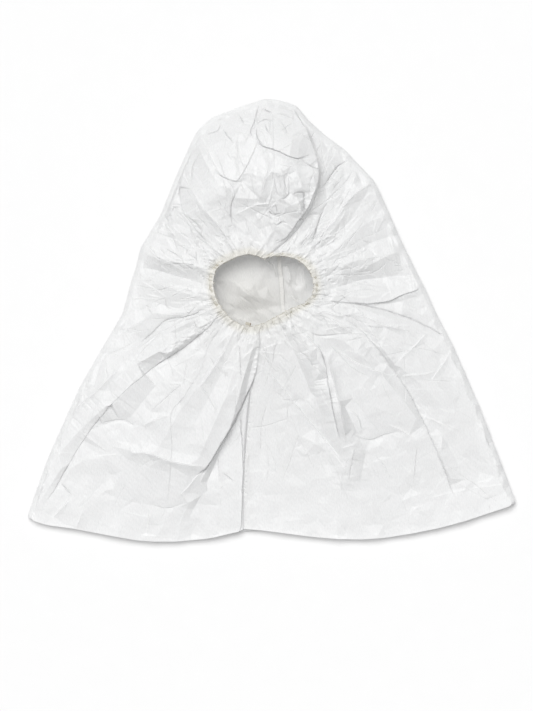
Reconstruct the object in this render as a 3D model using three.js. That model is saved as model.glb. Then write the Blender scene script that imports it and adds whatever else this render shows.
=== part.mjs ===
// A disposable pullover hood of thin spunbonded sheet, lying on its back with the face opening up.
// Two side panels are sewn together over the crown and down the back, and again from the chin to the hem.
// An elastic band gathers the face opening. Millimetres: X across, Y from hem to crown, the back on Z = 0,
// with the origin under the middle of the hood.
import * as THREE from "three";

// Driving sizes
const WALL = 1.3;
const GAP = 0.4;
const EDGE_RADIUS = 5;
const FACE = { x: -10, y: 34, height: 33, tilt: 2 };
const BAND = { width: 5, height: 4.4, sides: 8, scallop: 0.45 };
const GATHER = { height: 1.1, reach: 0.12 };
const SEAM = { width: 4.6, inset: 0.6, thickness: 0.8, gap: 0.4, slack: 4, slackReach: 0.35, firstRow: 2 };
const TAB = { deg: 247, turn: 11, width: 6.5, length: 3.6, thickness: 1, corner: 0.6 };

// Where the crown seam turns over the top edge
const CROWN_OUTWARD = new THREE.Vector2(0.7, 0.714);
const BACK_HEM_BOW = 14;
const BACK_CROWDING = 1.5;

const SHEET = new THREE.MeshStandardMaterial({ color: 0xf0f0ee, roughness: 0.62, metalness: 0 });
const THREAD = new THREE.MeshStandardMaterial({ color: 0xf2f0ea, roughness: 0.8, metalness: 0 });
const ELASTIC = new THREE.MeshStandardMaterial({ color: 0xe9e3d6, roughness: 0.85, metalness: 0 });
const RUBBER = new THREE.MeshStandardMaterial({ color: 0xcdbf9f, roughness: 0.7, metalness: 0 });

const named = (columns, table) =>
  table.map((row) => Object.fromEntries(columns.map((column, i) => [column, row[i]])));

// The back seam from crown to hem, and the share of a panel's side fold lines that end above each bend
const BACK_SEAM = named(["x", "y", "share"], [[25.6, 234, 0], [6, 72, 0.42], [11, 6, 0.56], [13, -237, 1]]);

// Inner edge of the gathered face opening, as radii about its centre
const FACE_EDGE = named(["deg", "radius"], [
  [0, 58], [30, 55.5], [60, 44.5], [76, 39.3], [87, 35.5], [98, 38.5], [116, 45.2], [135, 49.5], [158, 58],
  [175, 56.5], [205, 50.6], [234, 47.2], [250, 44], [267, 39], [287, 34.5], [306, 34.4], [327, 38.5], [344, 50],
]);

// Each row is one fold line of a panel: where it leaves the face opening, where it ends, its sideways bow,
// and its height near the face, half way and far out. Panels run from the crown seam round to the front seam.
const FOLD = ["deg", "x", "y", "bow", "near", "mid", "far"];
const LEFT_SIDE = named(FOLD, [
  [88, 30, 245, -44, 30, 26, 15],
  [90.5, 24, 248, -41, 36, 45, 31],
  [100, 8, 253, -26, 40, 53, 42],
  [112, -5, 254.5, -10, 38, 52, 40],
  [128, -15, 252, 8, 35, 43, 34],
  [134, -42, 243, 8, 35, 46, 33],
  [140, -70, 232, 12, 33, 40, 27],
  [145, -87, 215, 14, 31, 35, 20],
  [149, -107, 172, 10, 30, 28, 16],
  [153, -128, 120, 4, 29, 22, 14],
  [158, -151, 82, 0, 32, 27, 19],
  [172, -156, 60, 0, 25, 15, 11],
  [186, -161, 46, -4, 30, 25, 17],
  [194, -171, 8, -6, 29, 22, 14],
  [202, -197, -36, 10, 28, 20, 13],
  [207, -222, -80, 4, 31, 28, 20],
  [210, -258, -161, -10, 31, 27, 16],
  [213, -281.5, -228, -25, 30, 24, 13],
]);
const RIGHT_SIDE = named(FOLD, [
  [88, 30, 245, -44, 30, 26, 15],
  [80, 42, 230, -44, 30, 24, 14],
  [66, 62, 212, -34, 32, 28, 17],
  [56, 84, 196, -30, 28, 22, 14],
  [47, 101, 178, -20, 31, 26, 17],
  [39, 118, 160, -12, 28, 22, 15],
  [31, 132, 130, -6, 30, 24, 15],
  [24, 145, 100, 0, 29, 23, 14],
  [18, 154, 81, 2, 32, 28, 18],
  [4, 169, 50, 6, 26, 15, 11],
  [-3, 176, 37, 0, 29, 23, 16],
  [-9, 190, 6, 2, 28, 20, 13],
  [-13, 208, -28, 10, 29, 23, 14],
  [-17, 224, -65, 14, 27, 21, 13],
  [-20, 240, -102, 18, 28, 22, 13],
  [-23, 262, -160, 24, 29, 22, 13],
  [-25, 281.5, -211, 30, 29, 20, 12],
]);

// The rows that end on the open hem also give the height of the hem there
const HEM_FOLD = [...FOLD, "hem"];
const LEFT_HEM = named(HEM_FOLD, [
  [217, -258, -235.5, -33, 24, 15, 11, 10],
  [222, -228, -239.5, -24, 25, 17, 12, 10],
  [229, -202, -244.5, -17, 27, 20, 13, 10],
  [238, -178, -249, -10, 29, 24, 14, 10],
  [247, -155, -253, -2, 29, 23, 14, 10],
  [255, -135, -254.5, 6, 32, 29, 15, 10],
  [261, -118, -254.5, 10, 31, 26, 14, 10],
  [263, -110, -254.5, 11, 23, 14, 11, 10],
  [265, -72, -251, 4, 23, 15, 13, 11],
  [266, -38, -243, -5, 25, 18, 14, 12],
  [267.5, -31.5, -240, -6, 22, 13, 10, 9],
]);
const RIGHT_HEM = named(HEM_FOLD, [
  [-28, 240, -225, 33, 25, 15, 11, 10],
  [-31, 222, -231, 32, 30, 24, 14, 11],
  [-36, 192, -239, 24, 28, 21, 12, 10],
  [-43, 162, -245, 18, 26, 19, 12, 10],
  [-50, 132, -250, 20, 27, 20, 13, 10],
  [-57, 104, -252, 26, 33, 30, 15, 11],
  [-63, 76, -251.5, 16, 24, 15, 12, 10],
  [-71, 46, -249, 8, 26, 18, 12, 10],
  [-80, 12, -244.5, 0, 24, 15, 11, 10],
  [-87, -12, -241.5, -4, 22, 13, 10, 9.5],
  [-92.5, -31.5, -240, -6, 22, 13, 10, 9],
]);
const HEIGHT_STATIONS = [0, 0.2, 0.5, 0.8, 1];
const ROW_STATIONS = [0, 0.05, 0.11, 0.2, 0.3, 0.4, 0.5, 0.6, 0.7, 0.8, 0.9, 1];
const EDGE_STEPS = 4;
const BACK_STEPS = 4;

// Smooth curve through values at rising stations
function smoothAt(stations, values, at) {
  const last = stations.length - 1;
  const slope = (i) => {
    const before = Math.max(i - 1, 0);
    const after = Math.min(i + 1, last);
    return (values[after] - values[before]) / (stations[after] - stations[before]);
  };
  let i = 0;
  while (i < last - 1 && at > stations[i + 1]) i += 1;
  const span = stations[i + 1] - stations[i];
  const t = (at - stations[i]) / span;
  const rise = (3 - 2 * t) * t * t;
  const leave = t * (1 - t) * (1 - t) * span * slope(i);
  const arrive = t * t * (t - 1) * span * slope(i + 1);
  return values[i] + (values[i + 1] - values[i]) * rise + leave + arrive;
}

const wrapped = [...FACE_EDGE.slice(-2), ...FACE_EDGE, ...FACE_EDGE.slice(0, 2)];
const wrappedDegrees = wrapped.map((row, i) => row.deg + (i < 2 ? -360 : i < wrapped.length - 2 ? 0 : 360));
const wrappedRadii = wrapped.map((row) => row.radius);

// A point round the face opening, a given distance outside the band's inner edge
function facePoint(deg, outside) {
  const turn = THREE.MathUtils.degToRad(deg);
  const radius = smoothAt(wrappedDegrees, wrappedRadii, THREE.MathUtils.euclideanModulo(deg, 360)) + outside;
  const height = FACE.height + FACE.tilt * Math.sin(turn);
  return new THREE.Vector3(FACE.x + radius * Math.cos(turn), FACE.y + radius * Math.sin(turn), height);
}

// The front of the sheet along one fold line, from the face opening to the side edge or hem
function frontRows(fold, end) {
  const start = facePoint(fold.deg, BAND.width + GAP);
  const along = new THREE.Vector2(end.x - start.x, end.y - start.y);
  const sideways = new THREE.Vector2(-along.y, along.x).normalize();
  const heights = [start.z, fold.near, fold.mid, fold.far, end.z];
  return ROW_STATIONS.map((t) => {
    const bow = fold.bow * 4 * t * (1 - t);
    const height = smoothAt(HEIGHT_STATIONS, heights, t);
    return new THREE.Vector3(
      start.x + along.x * t + sideways.x * bow,
      start.y + along.y * t + sideways.y * bow,
      height,
    );
  });
}

// The sheet turned round a side edge on a half circle, and carried along the floor to the back seam
function edgeAndBackRows(top, outward, seamPoint, bow) {
  const rows = [];
  for (let step = 1; step <= EDGE_STEPS; step += 1) {
    const turn = Math.PI * (0.5 - step / EDGE_STEPS);
    const reach = EDGE_RADIUS * Math.cos(turn);
    const height = step === EDGE_STEPS ? 0 : EDGE_RADIUS * (1 + Math.sin(turn));
    rows.push(new THREE.Vector3(top.x + outward.x * reach, top.y + outward.y * reach, height));
  }
  for (let step = 1; step <= BACK_STEPS; step += 1) {
    const t = step / BACK_STEPS;
    const drop = bow * 4 * t * (1 - t);
    rows.push(new THREE.Vector3(
      THREE.MathUtils.lerp(top.x, seamPoint.x, t),
      THREE.MathUtils.lerp(top.y, seamPoint.y, t) - drop,
      0,
    ));
  }
  return rows;
}

// Points shared out along the back seam, closer together at the crown, with one of them on each bend
function backSeamPoints(count) {
  const bends = BACK_SEAM.map((bend) => ({ ...bend, index: Math.round(bend.share * (count - 1)) }));
  return Array.from({ length: count }, (_, i) => {
    const after = Math.max(1, bends.findIndex((bend) => i <= bend.index));
    const [from, to] = [bends[after - 1], bends[after]];
    const t = ((i - from.index) / (to.index - from.index)) ** (after === 1 ? BACK_CROWDING : 1);
    return new THREE.Vector2(THREE.MathUtils.lerp(from.x, to.x, t), THREE.MathUtils.lerp(from.y, to.y, t));
  });
}

// The columns of one panel: its fold lines with a gather between each two, the seams parted by the gap
function panelColumns(sideFolds, hemFolds, seamSide) {
  const seamPoints = backSeamPoints(sideFolds.length);
  const lines = sideFolds.map((fold, i) => {
    const before = sideFolds[Math.max(i - 1, 0)];
    const after = sideFolds[Math.min(i + 1, sideFolds.length - 1)];
    const edgeNormal = new THREE.Vector2(after.y - before.y, before.x - after.x).normalize();
    const outward = i === 0 ? CROWN_OUTWARD.clone().normalize() : edgeNormal.multiplyScalar(-seamSide);
    const top = new THREE.Vector3(
      fold.x - outward.x * EDGE_RADIUS,
      fold.y - outward.y * EDGE_RADIUS,
      2 * EDGE_RADIUS,
    );
    const bow = i === sideFolds.length - 1 ? BACK_HEM_BOW : 0;
    return [...frontRows(fold, top), ...edgeAndBackRows(top, outward, seamPoints[i], bow)];
  });
  hemFolds.forEach((fold) => lines.push(frontRows(fold, new THREE.Vector3(fold.x, fold.y, fold.hem))));

  const part = (p) => p.setX(p.x + seamSide * GAP / 2);
  lines[0].forEach(part);
  lines.at(-1).forEach(part);
  lines.slice(1, sideFolds.length).forEach((line) => part(line.at(-1)));

  const ripple = (line, sign) => line.map((p, k) => {
    const fade = k < ROW_STATIONS.length ? Math.exp(-ROW_STATIONS[k] / GATHER.reach) : 0;
    const rise = k === 0 ? 0 : sign * GATHER.height * fade;
    return new THREE.Vector3(p.x, p.y, p.z + rise);
  });
  const columns = [];
  lines.forEach((line, i) => {
    columns.push(ripple(line, -1));
    if (i === lines.length - 1) return;
    const next = lines[i + 1];
    const shared = Math.min(line.length, next.length);
    const between = line.slice(0, shared).map((p, k) => p.clone().lerp(next[k], 0.5));
    columns.push(ripple(between, 1));
  });
  return columns;
}

function meshOf(name, positions, triangles, material) {
  const geometry = new THREE.BufferGeometry();
  geometry.setAttribute("position", new THREE.Float32BufferAttribute(positions.flatMap((p) => p.toArray()), 3));
  geometry.setIndex(triangles.flat());
  geometry.computeVertexNormals();
  const mesh = new THREE.Mesh(geometry, material);
  mesh.name = name;
  return mesh;
}

// A sheet given its thickness: the same surface again on the inside, and a rim along every open edge.
// Where a sewn edge meets another piece, the direction of the thickness is given.
function thickened(positions, triangles, given) {
  const normals = positions.map(() => new THREE.Vector3());
  triangles.forEach(([a, b, c]) => {
    const across = positions[b].clone().sub(positions[a]);
    const up = positions[c].clone().sub(positions[a]);
    const face = across.cross(up);
    [a, b, c].forEach((i) => normals[i].add(face));
  });
  given.forEach((direction, i) => normals[i].copy(direction));
  const count = positions.length;
  const inside = positions.map((p, i) => p.clone().addScaledVector(normals[i].normalize(), -WALL));
  const edges = new Set(triangles.flatMap(([a, b, c]) => [`${a} ${b}`, `${b} ${c}`, `${c} ${a}`]));
  const rim = [...edges].map((key) => key.split(" ").map(Number)).filter(([a, b]) => !edges.has(`${b} ${a}`));
  return {
    positions: [...positions, ...inside],
    triangles: [
      ...triangles,
      ...triangles.map(([a, b, c]) => [a + count, c + count, b + count]),
      ...rim.flatMap(([a, b]) => [[b, a, a + count], [b, a + count, b + count]]),
    ],
  };
}

function panel(name, columns, seamSide) {
  const starts = [];
  const positions = [];
  columns.forEach((column) => {
    starts.push(positions.length);
    positions.push(...column);
  });
  const triangles = [];
  for (let c = 0; c + 1 < columns.length; c += 1) {
    const rows = Math.min(columns[c].length, columns[c + 1].length);
    for (let r = 0; r + 1 < rows; r += 1) {
      const [a, b] = [starts[c] + r, starts[c + 1] + r];
      const quad = [[a, a + 1, b], [a + 1, b + 1, b]];
      quad.forEach(([i, j, k]) => triangles.push(seamSide < 0 ? [i, j, k] : [i, k, j]));
    }
  }
  const given = new Map(starts.map((start) => [start, new THREE.Vector3(0, 0, 1)]));
  const crownTurn = columns[0].slice(ROW_STATIONS.length - 1, ROW_STATIONS.length + EDGE_STEPS);
  const crownAxis = crownTurn[0].clone().lerp(crownTurn.at(-1), 0.5);
  crownTurn.forEach((p, k) => given.set(ROW_STATIONS.length - 1 + k, p.clone().sub(crownAxis)));
  const sheet = thickened(positions, triangles, given);
  return meshOf(name, sheet.positions, sheet.triangles, SHEET);
}

// A bar or ring skinned over sections of equally many points
function skinned(name, sections, closed, material) {
  const sides = sections[0].length;
  const positions = sections.flat();
  const triangles = [];
  const spans = closed ? sections.length : sections.length - 1;
  for (let s = 0; s < spans; s += 1) {
    const here = s * sides;
    const next = ((s + 1) % sections.length) * sides;
    for (let i = 0; i < sides; i += 1) {
      const j = (i + 1) % sides;
      triangles.push([here + i, here + j, next + j], [here + i, next + j, next + i]);
    }
  }
  if (!closed) {
    const end = (sections.length - 1) * sides;
    for (let i = 1; i + 1 < sides; i += 1) {
      triangles.push([0, i + 1, i], [end, end + i, end + i + 1]);
    }
  }
  return meshOf(name, positions, triangles, material);
}

// The elastic band with the sheet gathered over it, scalloped from gather to gather
function faceElastic(edgePoints) {
  const sections = edgePoints.map((edge, i) => {
    const inward = new THREE.Vector3(FACE.x - edge.x, FACE.y - edge.y, 0).normalize();
    const middle = edge.clone().addScaledVector(inward, GAP + BAND.width / 2);
    middle.z -= WALL / 2;
    const halfHeight = BAND.height / 2 + (i % 2 ? BAND.scallop : -BAND.scallop);
    return Array.from({ length: BAND.sides }, (_, k) => {
      const turn = (2 * Math.PI * k) / BAND.sides;
      const p = middle.clone().addScaledVector(inward, -BAND.width / 2 * Math.cos(turn));
      p.z -= halfHeight * Math.sin(turn);
      return p;
    });
  });
  return skinned("face_elastic", sections, true, ELASTIC);
}

// The cut end of the elastic, showing inside the chin
function elasticTab() {
  const { width, length, corner, thickness } = TAB;
  const outline = new THREE.Shape();
  outline.moveTo(-width / 2, 0);
  outline.lineTo(width / 2, 0);
  outline.lineTo(width / 2, length - corner);
  outline.lineTo(width / 2 - corner, length);
  outline.lineTo(corner - width / 2, length);
  outline.lineTo(-width / 2, length - corner);
  const mesh = new THREE.Mesh(new THREE.ExtrudeGeometry(outline, { depth: thickness, bevelEnabled: false }), RUBBER);
  const seat = facePoint(TAB.deg, -2 * GAP);
  mesh.position.set(seat.x, seat.y, seat.z - WALL / 2 - thickness / 2);
  mesh.rotation.z = THREE.MathUtils.degToRad(TAB.deg + TAB.turn + 90);
  mesh.name = "elastic_tab";
  return mesh;
}

// Sewn edges turned to one side, lying against the inside of a panel
function seamStrip(name, path) {
  const sections = path.map(({ at, aside, out, slack }) => {
    const depth = WALL + SEAM.gap + slack;
    const corner = (across, under) =>
      at.clone().addScaledVector(aside, across).addScaledVector(out, -depth - under);
    const far = SEAM.inset + SEAM.width;
    return [
      corner(SEAM.inset, 0),
      corner(far, 0),
      corner(far, SEAM.thickness),
      corner(SEAM.inset, SEAM.thickness),
    ];
  });
  return skinned(name, sections, false, THREAD);
}

// Rows of a seam on the front, from beside the band outwards, with the neighbouring column giving the slope
function frontSeamPath(column, neighbour, side, rowCount) {
  return column.slice(SEAM.firstRow, rowCount).map((at, i) => {
    const k = i + SEAM.firstRow;
    const tangent = column[Math.min(k + 1, column.length - 1)].clone().sub(column[Math.max(k - 1, 0)]).normalize();
    const aside = neighbour[k].clone().sub(at).normalize();
    const out = aside.clone().cross(tangent).multiplyScalar(side).normalize();
    const near = k < ROW_STATIONS.length ? Math.max(0, 1 - ROW_STATIONS[k] / SEAM.slackReach) : 0;
    return { at, aside, out, slack: SEAM.slack * near };
  });
}

function backSeamPath(points) {
  const out = new THREE.Vector3(0, 0, -1);
  return points.map((at, k) => {
    const before = points[Math.max(k - 1, 0)];
    const after = points[Math.min(k + 1, points.length - 1)];
    const aside = after.clone().sub(before).normalize().cross(out);
    return { at, aside, out, slack: 0 };
  });
}

const leftColumns = panelColumns(LEFT_SIDE, LEFT_HEM, -1);
const rightColumns = panelColumns(RIGHT_SIDE, RIGHT_HEM, 1);
const frontCount = ROW_STATIONS.length;
const overEdge = frontCount + EDGE_STEPS;
const crownPath = frontSeamPath(rightColumns[0], rightColumns[1], 1, overEdge);
const backPoints = rightColumns
  .filter((column, i) => i > 0 && column.length > frontCount)
  .map((column) => column.at(-1));
const backPath = backSeamPath([rightColumns[0].at(-1), ...backPoints]);
const chinPath = frontSeamPath(rightColumns.at(-1), rightColumns.at(-2), -1, frontCount).reverse();
const faceEdge = [...leftColumns, ...rightColumns.slice(1, -1).reverse()].map((column) => column[0]);

const hood = new THREE.Group();
hood.add(
  panel("left_panel", leftColumns, -1),
  panel("right_panel", rightColumns, 1),
  seamStrip("crown_back_seam", [...crownPath, ...backPath]),
  seamStrip("front_seam", chinPath),
  faceElastic(faceEdge),
  elasticTab(),
);

export default hood;
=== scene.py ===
from collections import namedtuple

import bpy
import numpy as np
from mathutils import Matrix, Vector
from mathutils.bvhtree import BVHTree
from mathutils.geometry import delaunay_2d_cdt
from mathutils.kdtree import KDTree


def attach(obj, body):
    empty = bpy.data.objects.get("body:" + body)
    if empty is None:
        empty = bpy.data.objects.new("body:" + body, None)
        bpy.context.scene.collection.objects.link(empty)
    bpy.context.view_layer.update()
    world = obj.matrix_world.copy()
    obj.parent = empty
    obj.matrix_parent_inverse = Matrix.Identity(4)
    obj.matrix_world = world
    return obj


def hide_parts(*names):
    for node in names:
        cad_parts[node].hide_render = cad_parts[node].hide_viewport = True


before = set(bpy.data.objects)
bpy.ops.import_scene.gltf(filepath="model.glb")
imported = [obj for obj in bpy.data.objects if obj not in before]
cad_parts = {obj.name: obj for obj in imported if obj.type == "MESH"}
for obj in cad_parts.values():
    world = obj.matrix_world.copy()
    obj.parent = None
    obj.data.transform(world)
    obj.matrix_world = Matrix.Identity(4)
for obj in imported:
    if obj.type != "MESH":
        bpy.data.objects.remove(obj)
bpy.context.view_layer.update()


# Camera
# A long lens looks straight down on the hood, which lies flat, and leaves room below the hem.
# The lens is set so the view spans on the table the photo's height in pixels, each of a known size.
MM = 0.001
PHOTO_PIXELS_HIGH = 711
PIXEL = 1.15
VIEW_MIDDLE = (-5.75, -40.8)
LENS_HEIGHT = 6000

lens = bpy.data.cameras.new("overhead_lens")
lens.lens = lens.sensor_width * LENS_HEIGHT / (PHOTO_PIXELS_HIGH * PIXEL)
camera = bpy.data.objects.new("overhead_camera", lens)
camera.location = Vector((*VIEW_MIDDLE, LENS_HEIGHT)) * MM
bpy.context.scene.collection.objects.link(camera)
bpy.context.scene.camera = camera


# Table and light
# A white studio table under a white ceiling, with greyer walls and one large soft window at the upper left.
TABLE_SIZE = 9000
TABLE_GRAIN, TABLE_ROUGHNESS = 40, 0.75
TABLE_TONES = ((0.0, (0.74, 0.74, 0.74, 1)), (1.0, (0.754, 0.754, 0.754, 1)))
ROOM_LIGHT = 0.78
ROOM_TONES = ((0.0, (0.2, 0.2, 0.2, 1)), (1.0, (1, 1, 1, 1)))
WINDOW_LIGHT = 2.57
WINDOW_WIDTH_DEG = 40
WINDOW_FROM = (-0.2, 0.45, 1.05)


def new_finish(name):
    """An empty procedural material: its nodes, its links and its shader."""
    finish = bpy.data.materials.new(name)
    finish.use_nodes = True
    tree = finish.node_tree
    return finish, tree.nodes, tree.links, tree.nodes["Principled BSDF"]


def grain(nodes, links, scale, detail=3.0, stretch=(1, 1, 1), turn=(0, 0, 0)):
    """Noise fixed to the piece, with its scale in grains a metre."""
    place = nodes.new("ShaderNodeTexCoord")
    frame_of_grain = nodes.new("ShaderNodeMapping")
    frame_of_grain.inputs["Scale"].default_value = stretch
    frame_of_grain.inputs["Rotation"].default_value = turn
    noise = nodes.new("ShaderNodeTexNoise")
    noise.inputs["Scale"].default_value = scale
    noise.inputs["Detail"].default_value = detail
    links.new(place.outputs["Object"], frame_of_grain.inputs["Vector"])
    links.new(frame_of_grain.outputs["Vector"], noise.inputs["Vector"])
    return noise.outputs["Fac"]


def tones(nodes, links, value, stops):
    """Colours shared out along a value."""
    ramp = nodes.new("ShaderNodeValToRGB")
    for element, (at, colour) in zip(ramp.color_ramp.elements, (stops[0], stops[-1])):
        element.position = at
        element.color = colour
    for at, colour in stops[1:-1]:
        ramp.color_ramp.elements.new(at).color = colour
    links.new(value, ramp.inputs["Fac"])
    return ramp.outputs["Color"]


table_finish, nodes, links, shader = new_finish("white_table")
links.new(tones(nodes, links, grain(nodes, links, TABLE_GRAIN), TABLE_TONES), shader.inputs["Base Color"])
shader.inputs["Roughness"].default_value = TABLE_ROUGHNESS
half_table = TABLE_SIZE / 2 * MM
table_corners = [(x * half_table, y * half_table, 0) for x, y in ((-1, -1), (1, -1), (1, 1), (-1, 1))]
table_mesh = bpy.data.meshes.new("table_top")
table_mesh.from_pydata(table_corners, [], [(0, 1, 2, 3)])
table_mesh.materials.append(table_finish)
table_top = bpy.data.objects.new("table_top", table_mesh)
bpy.context.scene.collection.objects.link(table_top)

window = bpy.data.lights.new("window_light", "SUN")
window.energy = WINDOW_LIGHT
window.angle = np.radians(WINDOW_WIDTH_DEG)
window_object = bpy.data.objects.new("window_light", window)
window_object.rotation_euler = (-Vector(WINDOW_FROM)).to_track_quat("-Z", "Y").to_euler()
bpy.context.scene.collection.objects.link(window_object)

room = bpy.data.worlds.new("white_room")
room.use_nodes = True
nodes, links = room.node_tree.nodes, room.node_tree.links
direction = nodes.new("ShaderNodeTexCoord")
upward = nodes.new("ShaderNodeSeparateXYZ")
links.new(direction.outputs["Generated"], upward.inputs["Vector"])
links.new(tones(nodes, links, upward.outputs["Z"], ROOM_TONES), nodes["Background"].inputs["Color"])
nodes["Background"].inputs["Strength"].default_value = ROOM_LIGHT
bpy.context.scene.world = room
bpy.context.scene.view_settings.view_transform = "Standard"


# Side panels
# Two panels of white spunbonded sheet, cut alike and sewn together over the crown and from chin to hem.
# Each is one sheet: its front half runs from the gathered face opening to a folded side edge and the raw-cut
# hem, and its back half lies on the table. The sheet keeps every crease it was packed with.
SHEET_THICKNESS = 0.3
EDGE_RADIUS, EDGE_ROUNDNESS, EDGE_FADE = 5, 1.6, 4.5
EDGE_UNEVEN, EDGE_UNEVEN_PITCH, EDGE_UNEVEN_FROM = 1.1, 9, 0.88
FACE_X, FACE_Y = -10, 34
FACE_HEIGHT, FACE_TILT = 33, 2
BAND_WIDTH = 5
LAPPED_OVER_BAND = 4.2
LIES_OVER_BAND = 1.3
COLUMNS, ROWS, EDGE_ROWS, BACK_ROWS = 380, 130, 7, 100
HEIGHT_STATIONS = (0, 0.2, 0.5, 0.8, 1)

# The inner edge of the elastic, as radii about the middle of the face opening
FACE_EDGE = np.array([
    (0, 58), (30, 55.5), (60, 44.5), (76, 39.3), (87, 35.5), (98, 38.5), (116, 45.2), (135, 49.5),
    (158, 58), (175, 56.5), (205, 50.6), (234, 47.2), (250, 44), (267, 39), (287, 34.5), (306, 34.4),
    (327, 38.5), (344, 50),
])

# One row for each main fold line: where it leaves the face opening, where it ends, its sideways bow,
# and its height near the face, half way and far out, and at the hem where it ends there
Fold = namedtuple("Fold", "deg x y bow near mid far hem", defaults=(2 * EDGE_RADIUS,))
LEFT_SIDE = [Fold(*row) for row in (
    (88, 30, 245, -44, 30, 30, 18),
    (90.5, 24, 248, -41, 36, 45, 33),
    (100, 8, 253, -26, 40, 53, 42),
    (112, -5, 254.5, -10, 38, 52, 40),
    (128, -15, 252, 8, 35, 43, 34),
    (134, -42, 243, 8, 35, 46, 36),
    (140, -70, 232, 12, 33, 41, 32),
    (145, -87, 215, 14, 31, 36, 27),
    (149, -107, 172, 10, 30, 32, 25),
    (153, -128, 120, 4, 29, 26, 20),
    (158, -151, 82, 0, 32, 27, 19),
    (172, -156, 60, 0, 25, 15, 11),
    (186, -161, 46, -4, 30, 25, 17),
    (194, -171, 8, -6, 29, 22, 14),
    (202, -197, -36, 10, 28, 20, 13),
    (207, -222, -80, 4, 31, 28, 20),
    (210, -258, -161, -10, 31, 27, 16),
    (213, -281.5, -228, -25, 30, 24, 13),
)]
LEFT_HEM = [Fold(*row) for row in (
    (217, -258, -235.5, -33, 24, 15, 11, 10),
    (222, -228, -239.5, -24, 25, 17, 12, 10),
    (229, -202, -244.5, -17, 27, 20, 13, 10),
    (238, -178, -249, -10, 29, 24, 14, 10),
    (247, -155, -253, -2, 29, 23, 14, 10),
    (255, -135, -254.5, 6, 32, 29, 15, 10),
    (261, -118, -254.5, 10, 31, 26, 14, 10),
    (263, -110, -254.5, 11, 23, 14, 11, 10),
    (265, -72, -251, 4, 23, 15, 13, 11),
    (266, -38, -243, -5, 25, 18, 14, 12),
    (267.5, -31.5, -240, -6, 22, 13, 10, 9),
)]
RIGHT_SIDE = [Fold(*row) for row in (
    (88, 30, 245, -44, 30, 30, 18),
    (80, 42, 230, -44, 30, 24, 14),
    (66, 62, 212, -34, 32, 28, 17),
    (56, 84, 196, -30, 28, 22, 14),
    (47, 101, 178, -20, 31, 26, 17),
    (39, 118, 160, -12, 28, 22, 15),
    (31, 132, 130, -6, 30, 24, 15),
    (24, 145, 100, 0, 29, 23, 14),
    (18, 154, 81, 2, 32, 28, 18),
    (4, 169, 50, 6, 26, 15, 11),
    (-3, 176, 37, 0, 29, 23, 16),
    (-9, 190, 6, 2, 28, 20, 13),
    (-13, 208, -28, 10, 29, 23, 14),
    (-17, 224, -65, 14, 27, 21, 13),
    (-20, 240, -102, 18, 28, 22, 13),
    (-23, 262, -160, 24, 29, 22, 13),
    (-25, 281.5, -211, 30, 29, 20, 12),
)]
RIGHT_HEM = [Fold(*row) for row in (
    (-28, 240, -225, 33, 25, 15, 11, 10),
    (-31, 222, -231, 32, 30, 24, 14, 11),
    (-36, 192, -239, 24, 28, 21, 12, 10),
    (-43, 162, -245, 18, 26, 19, 12, 10),
    (-50, 132, -250, 20, 27, 20, 13, 10),
    (-57, 104, -252, 26, 33, 30, 15, 11),
    (-63, 76, -251.5, 16, 24, 15, 12, 10),
    (-71, 46, -249, 8, 26, 18, 12, 10),
    (-80, 12, -244.5, 0, 24, 15, 11, 10),
    (-87, -12, -241.5, -4, 22, 13, 10, 9.5),
    (-92.5, -31.5, -240, -6, 22, 13, 10, 9),
)]

# The back seam from crown to hem, and the share of a panel's side fold lines that end above each bend
BACK_SEAM = np.array([(25.6, 234, 0), (6, 72, 0.42), (11, 6, 0.56), (13, -237, 1)])
BACK_CROWDING = 1.5
BACK_HEM_BOW = 14
CROWN_OUTWARD = np.array((0.7, 0.714))

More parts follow.
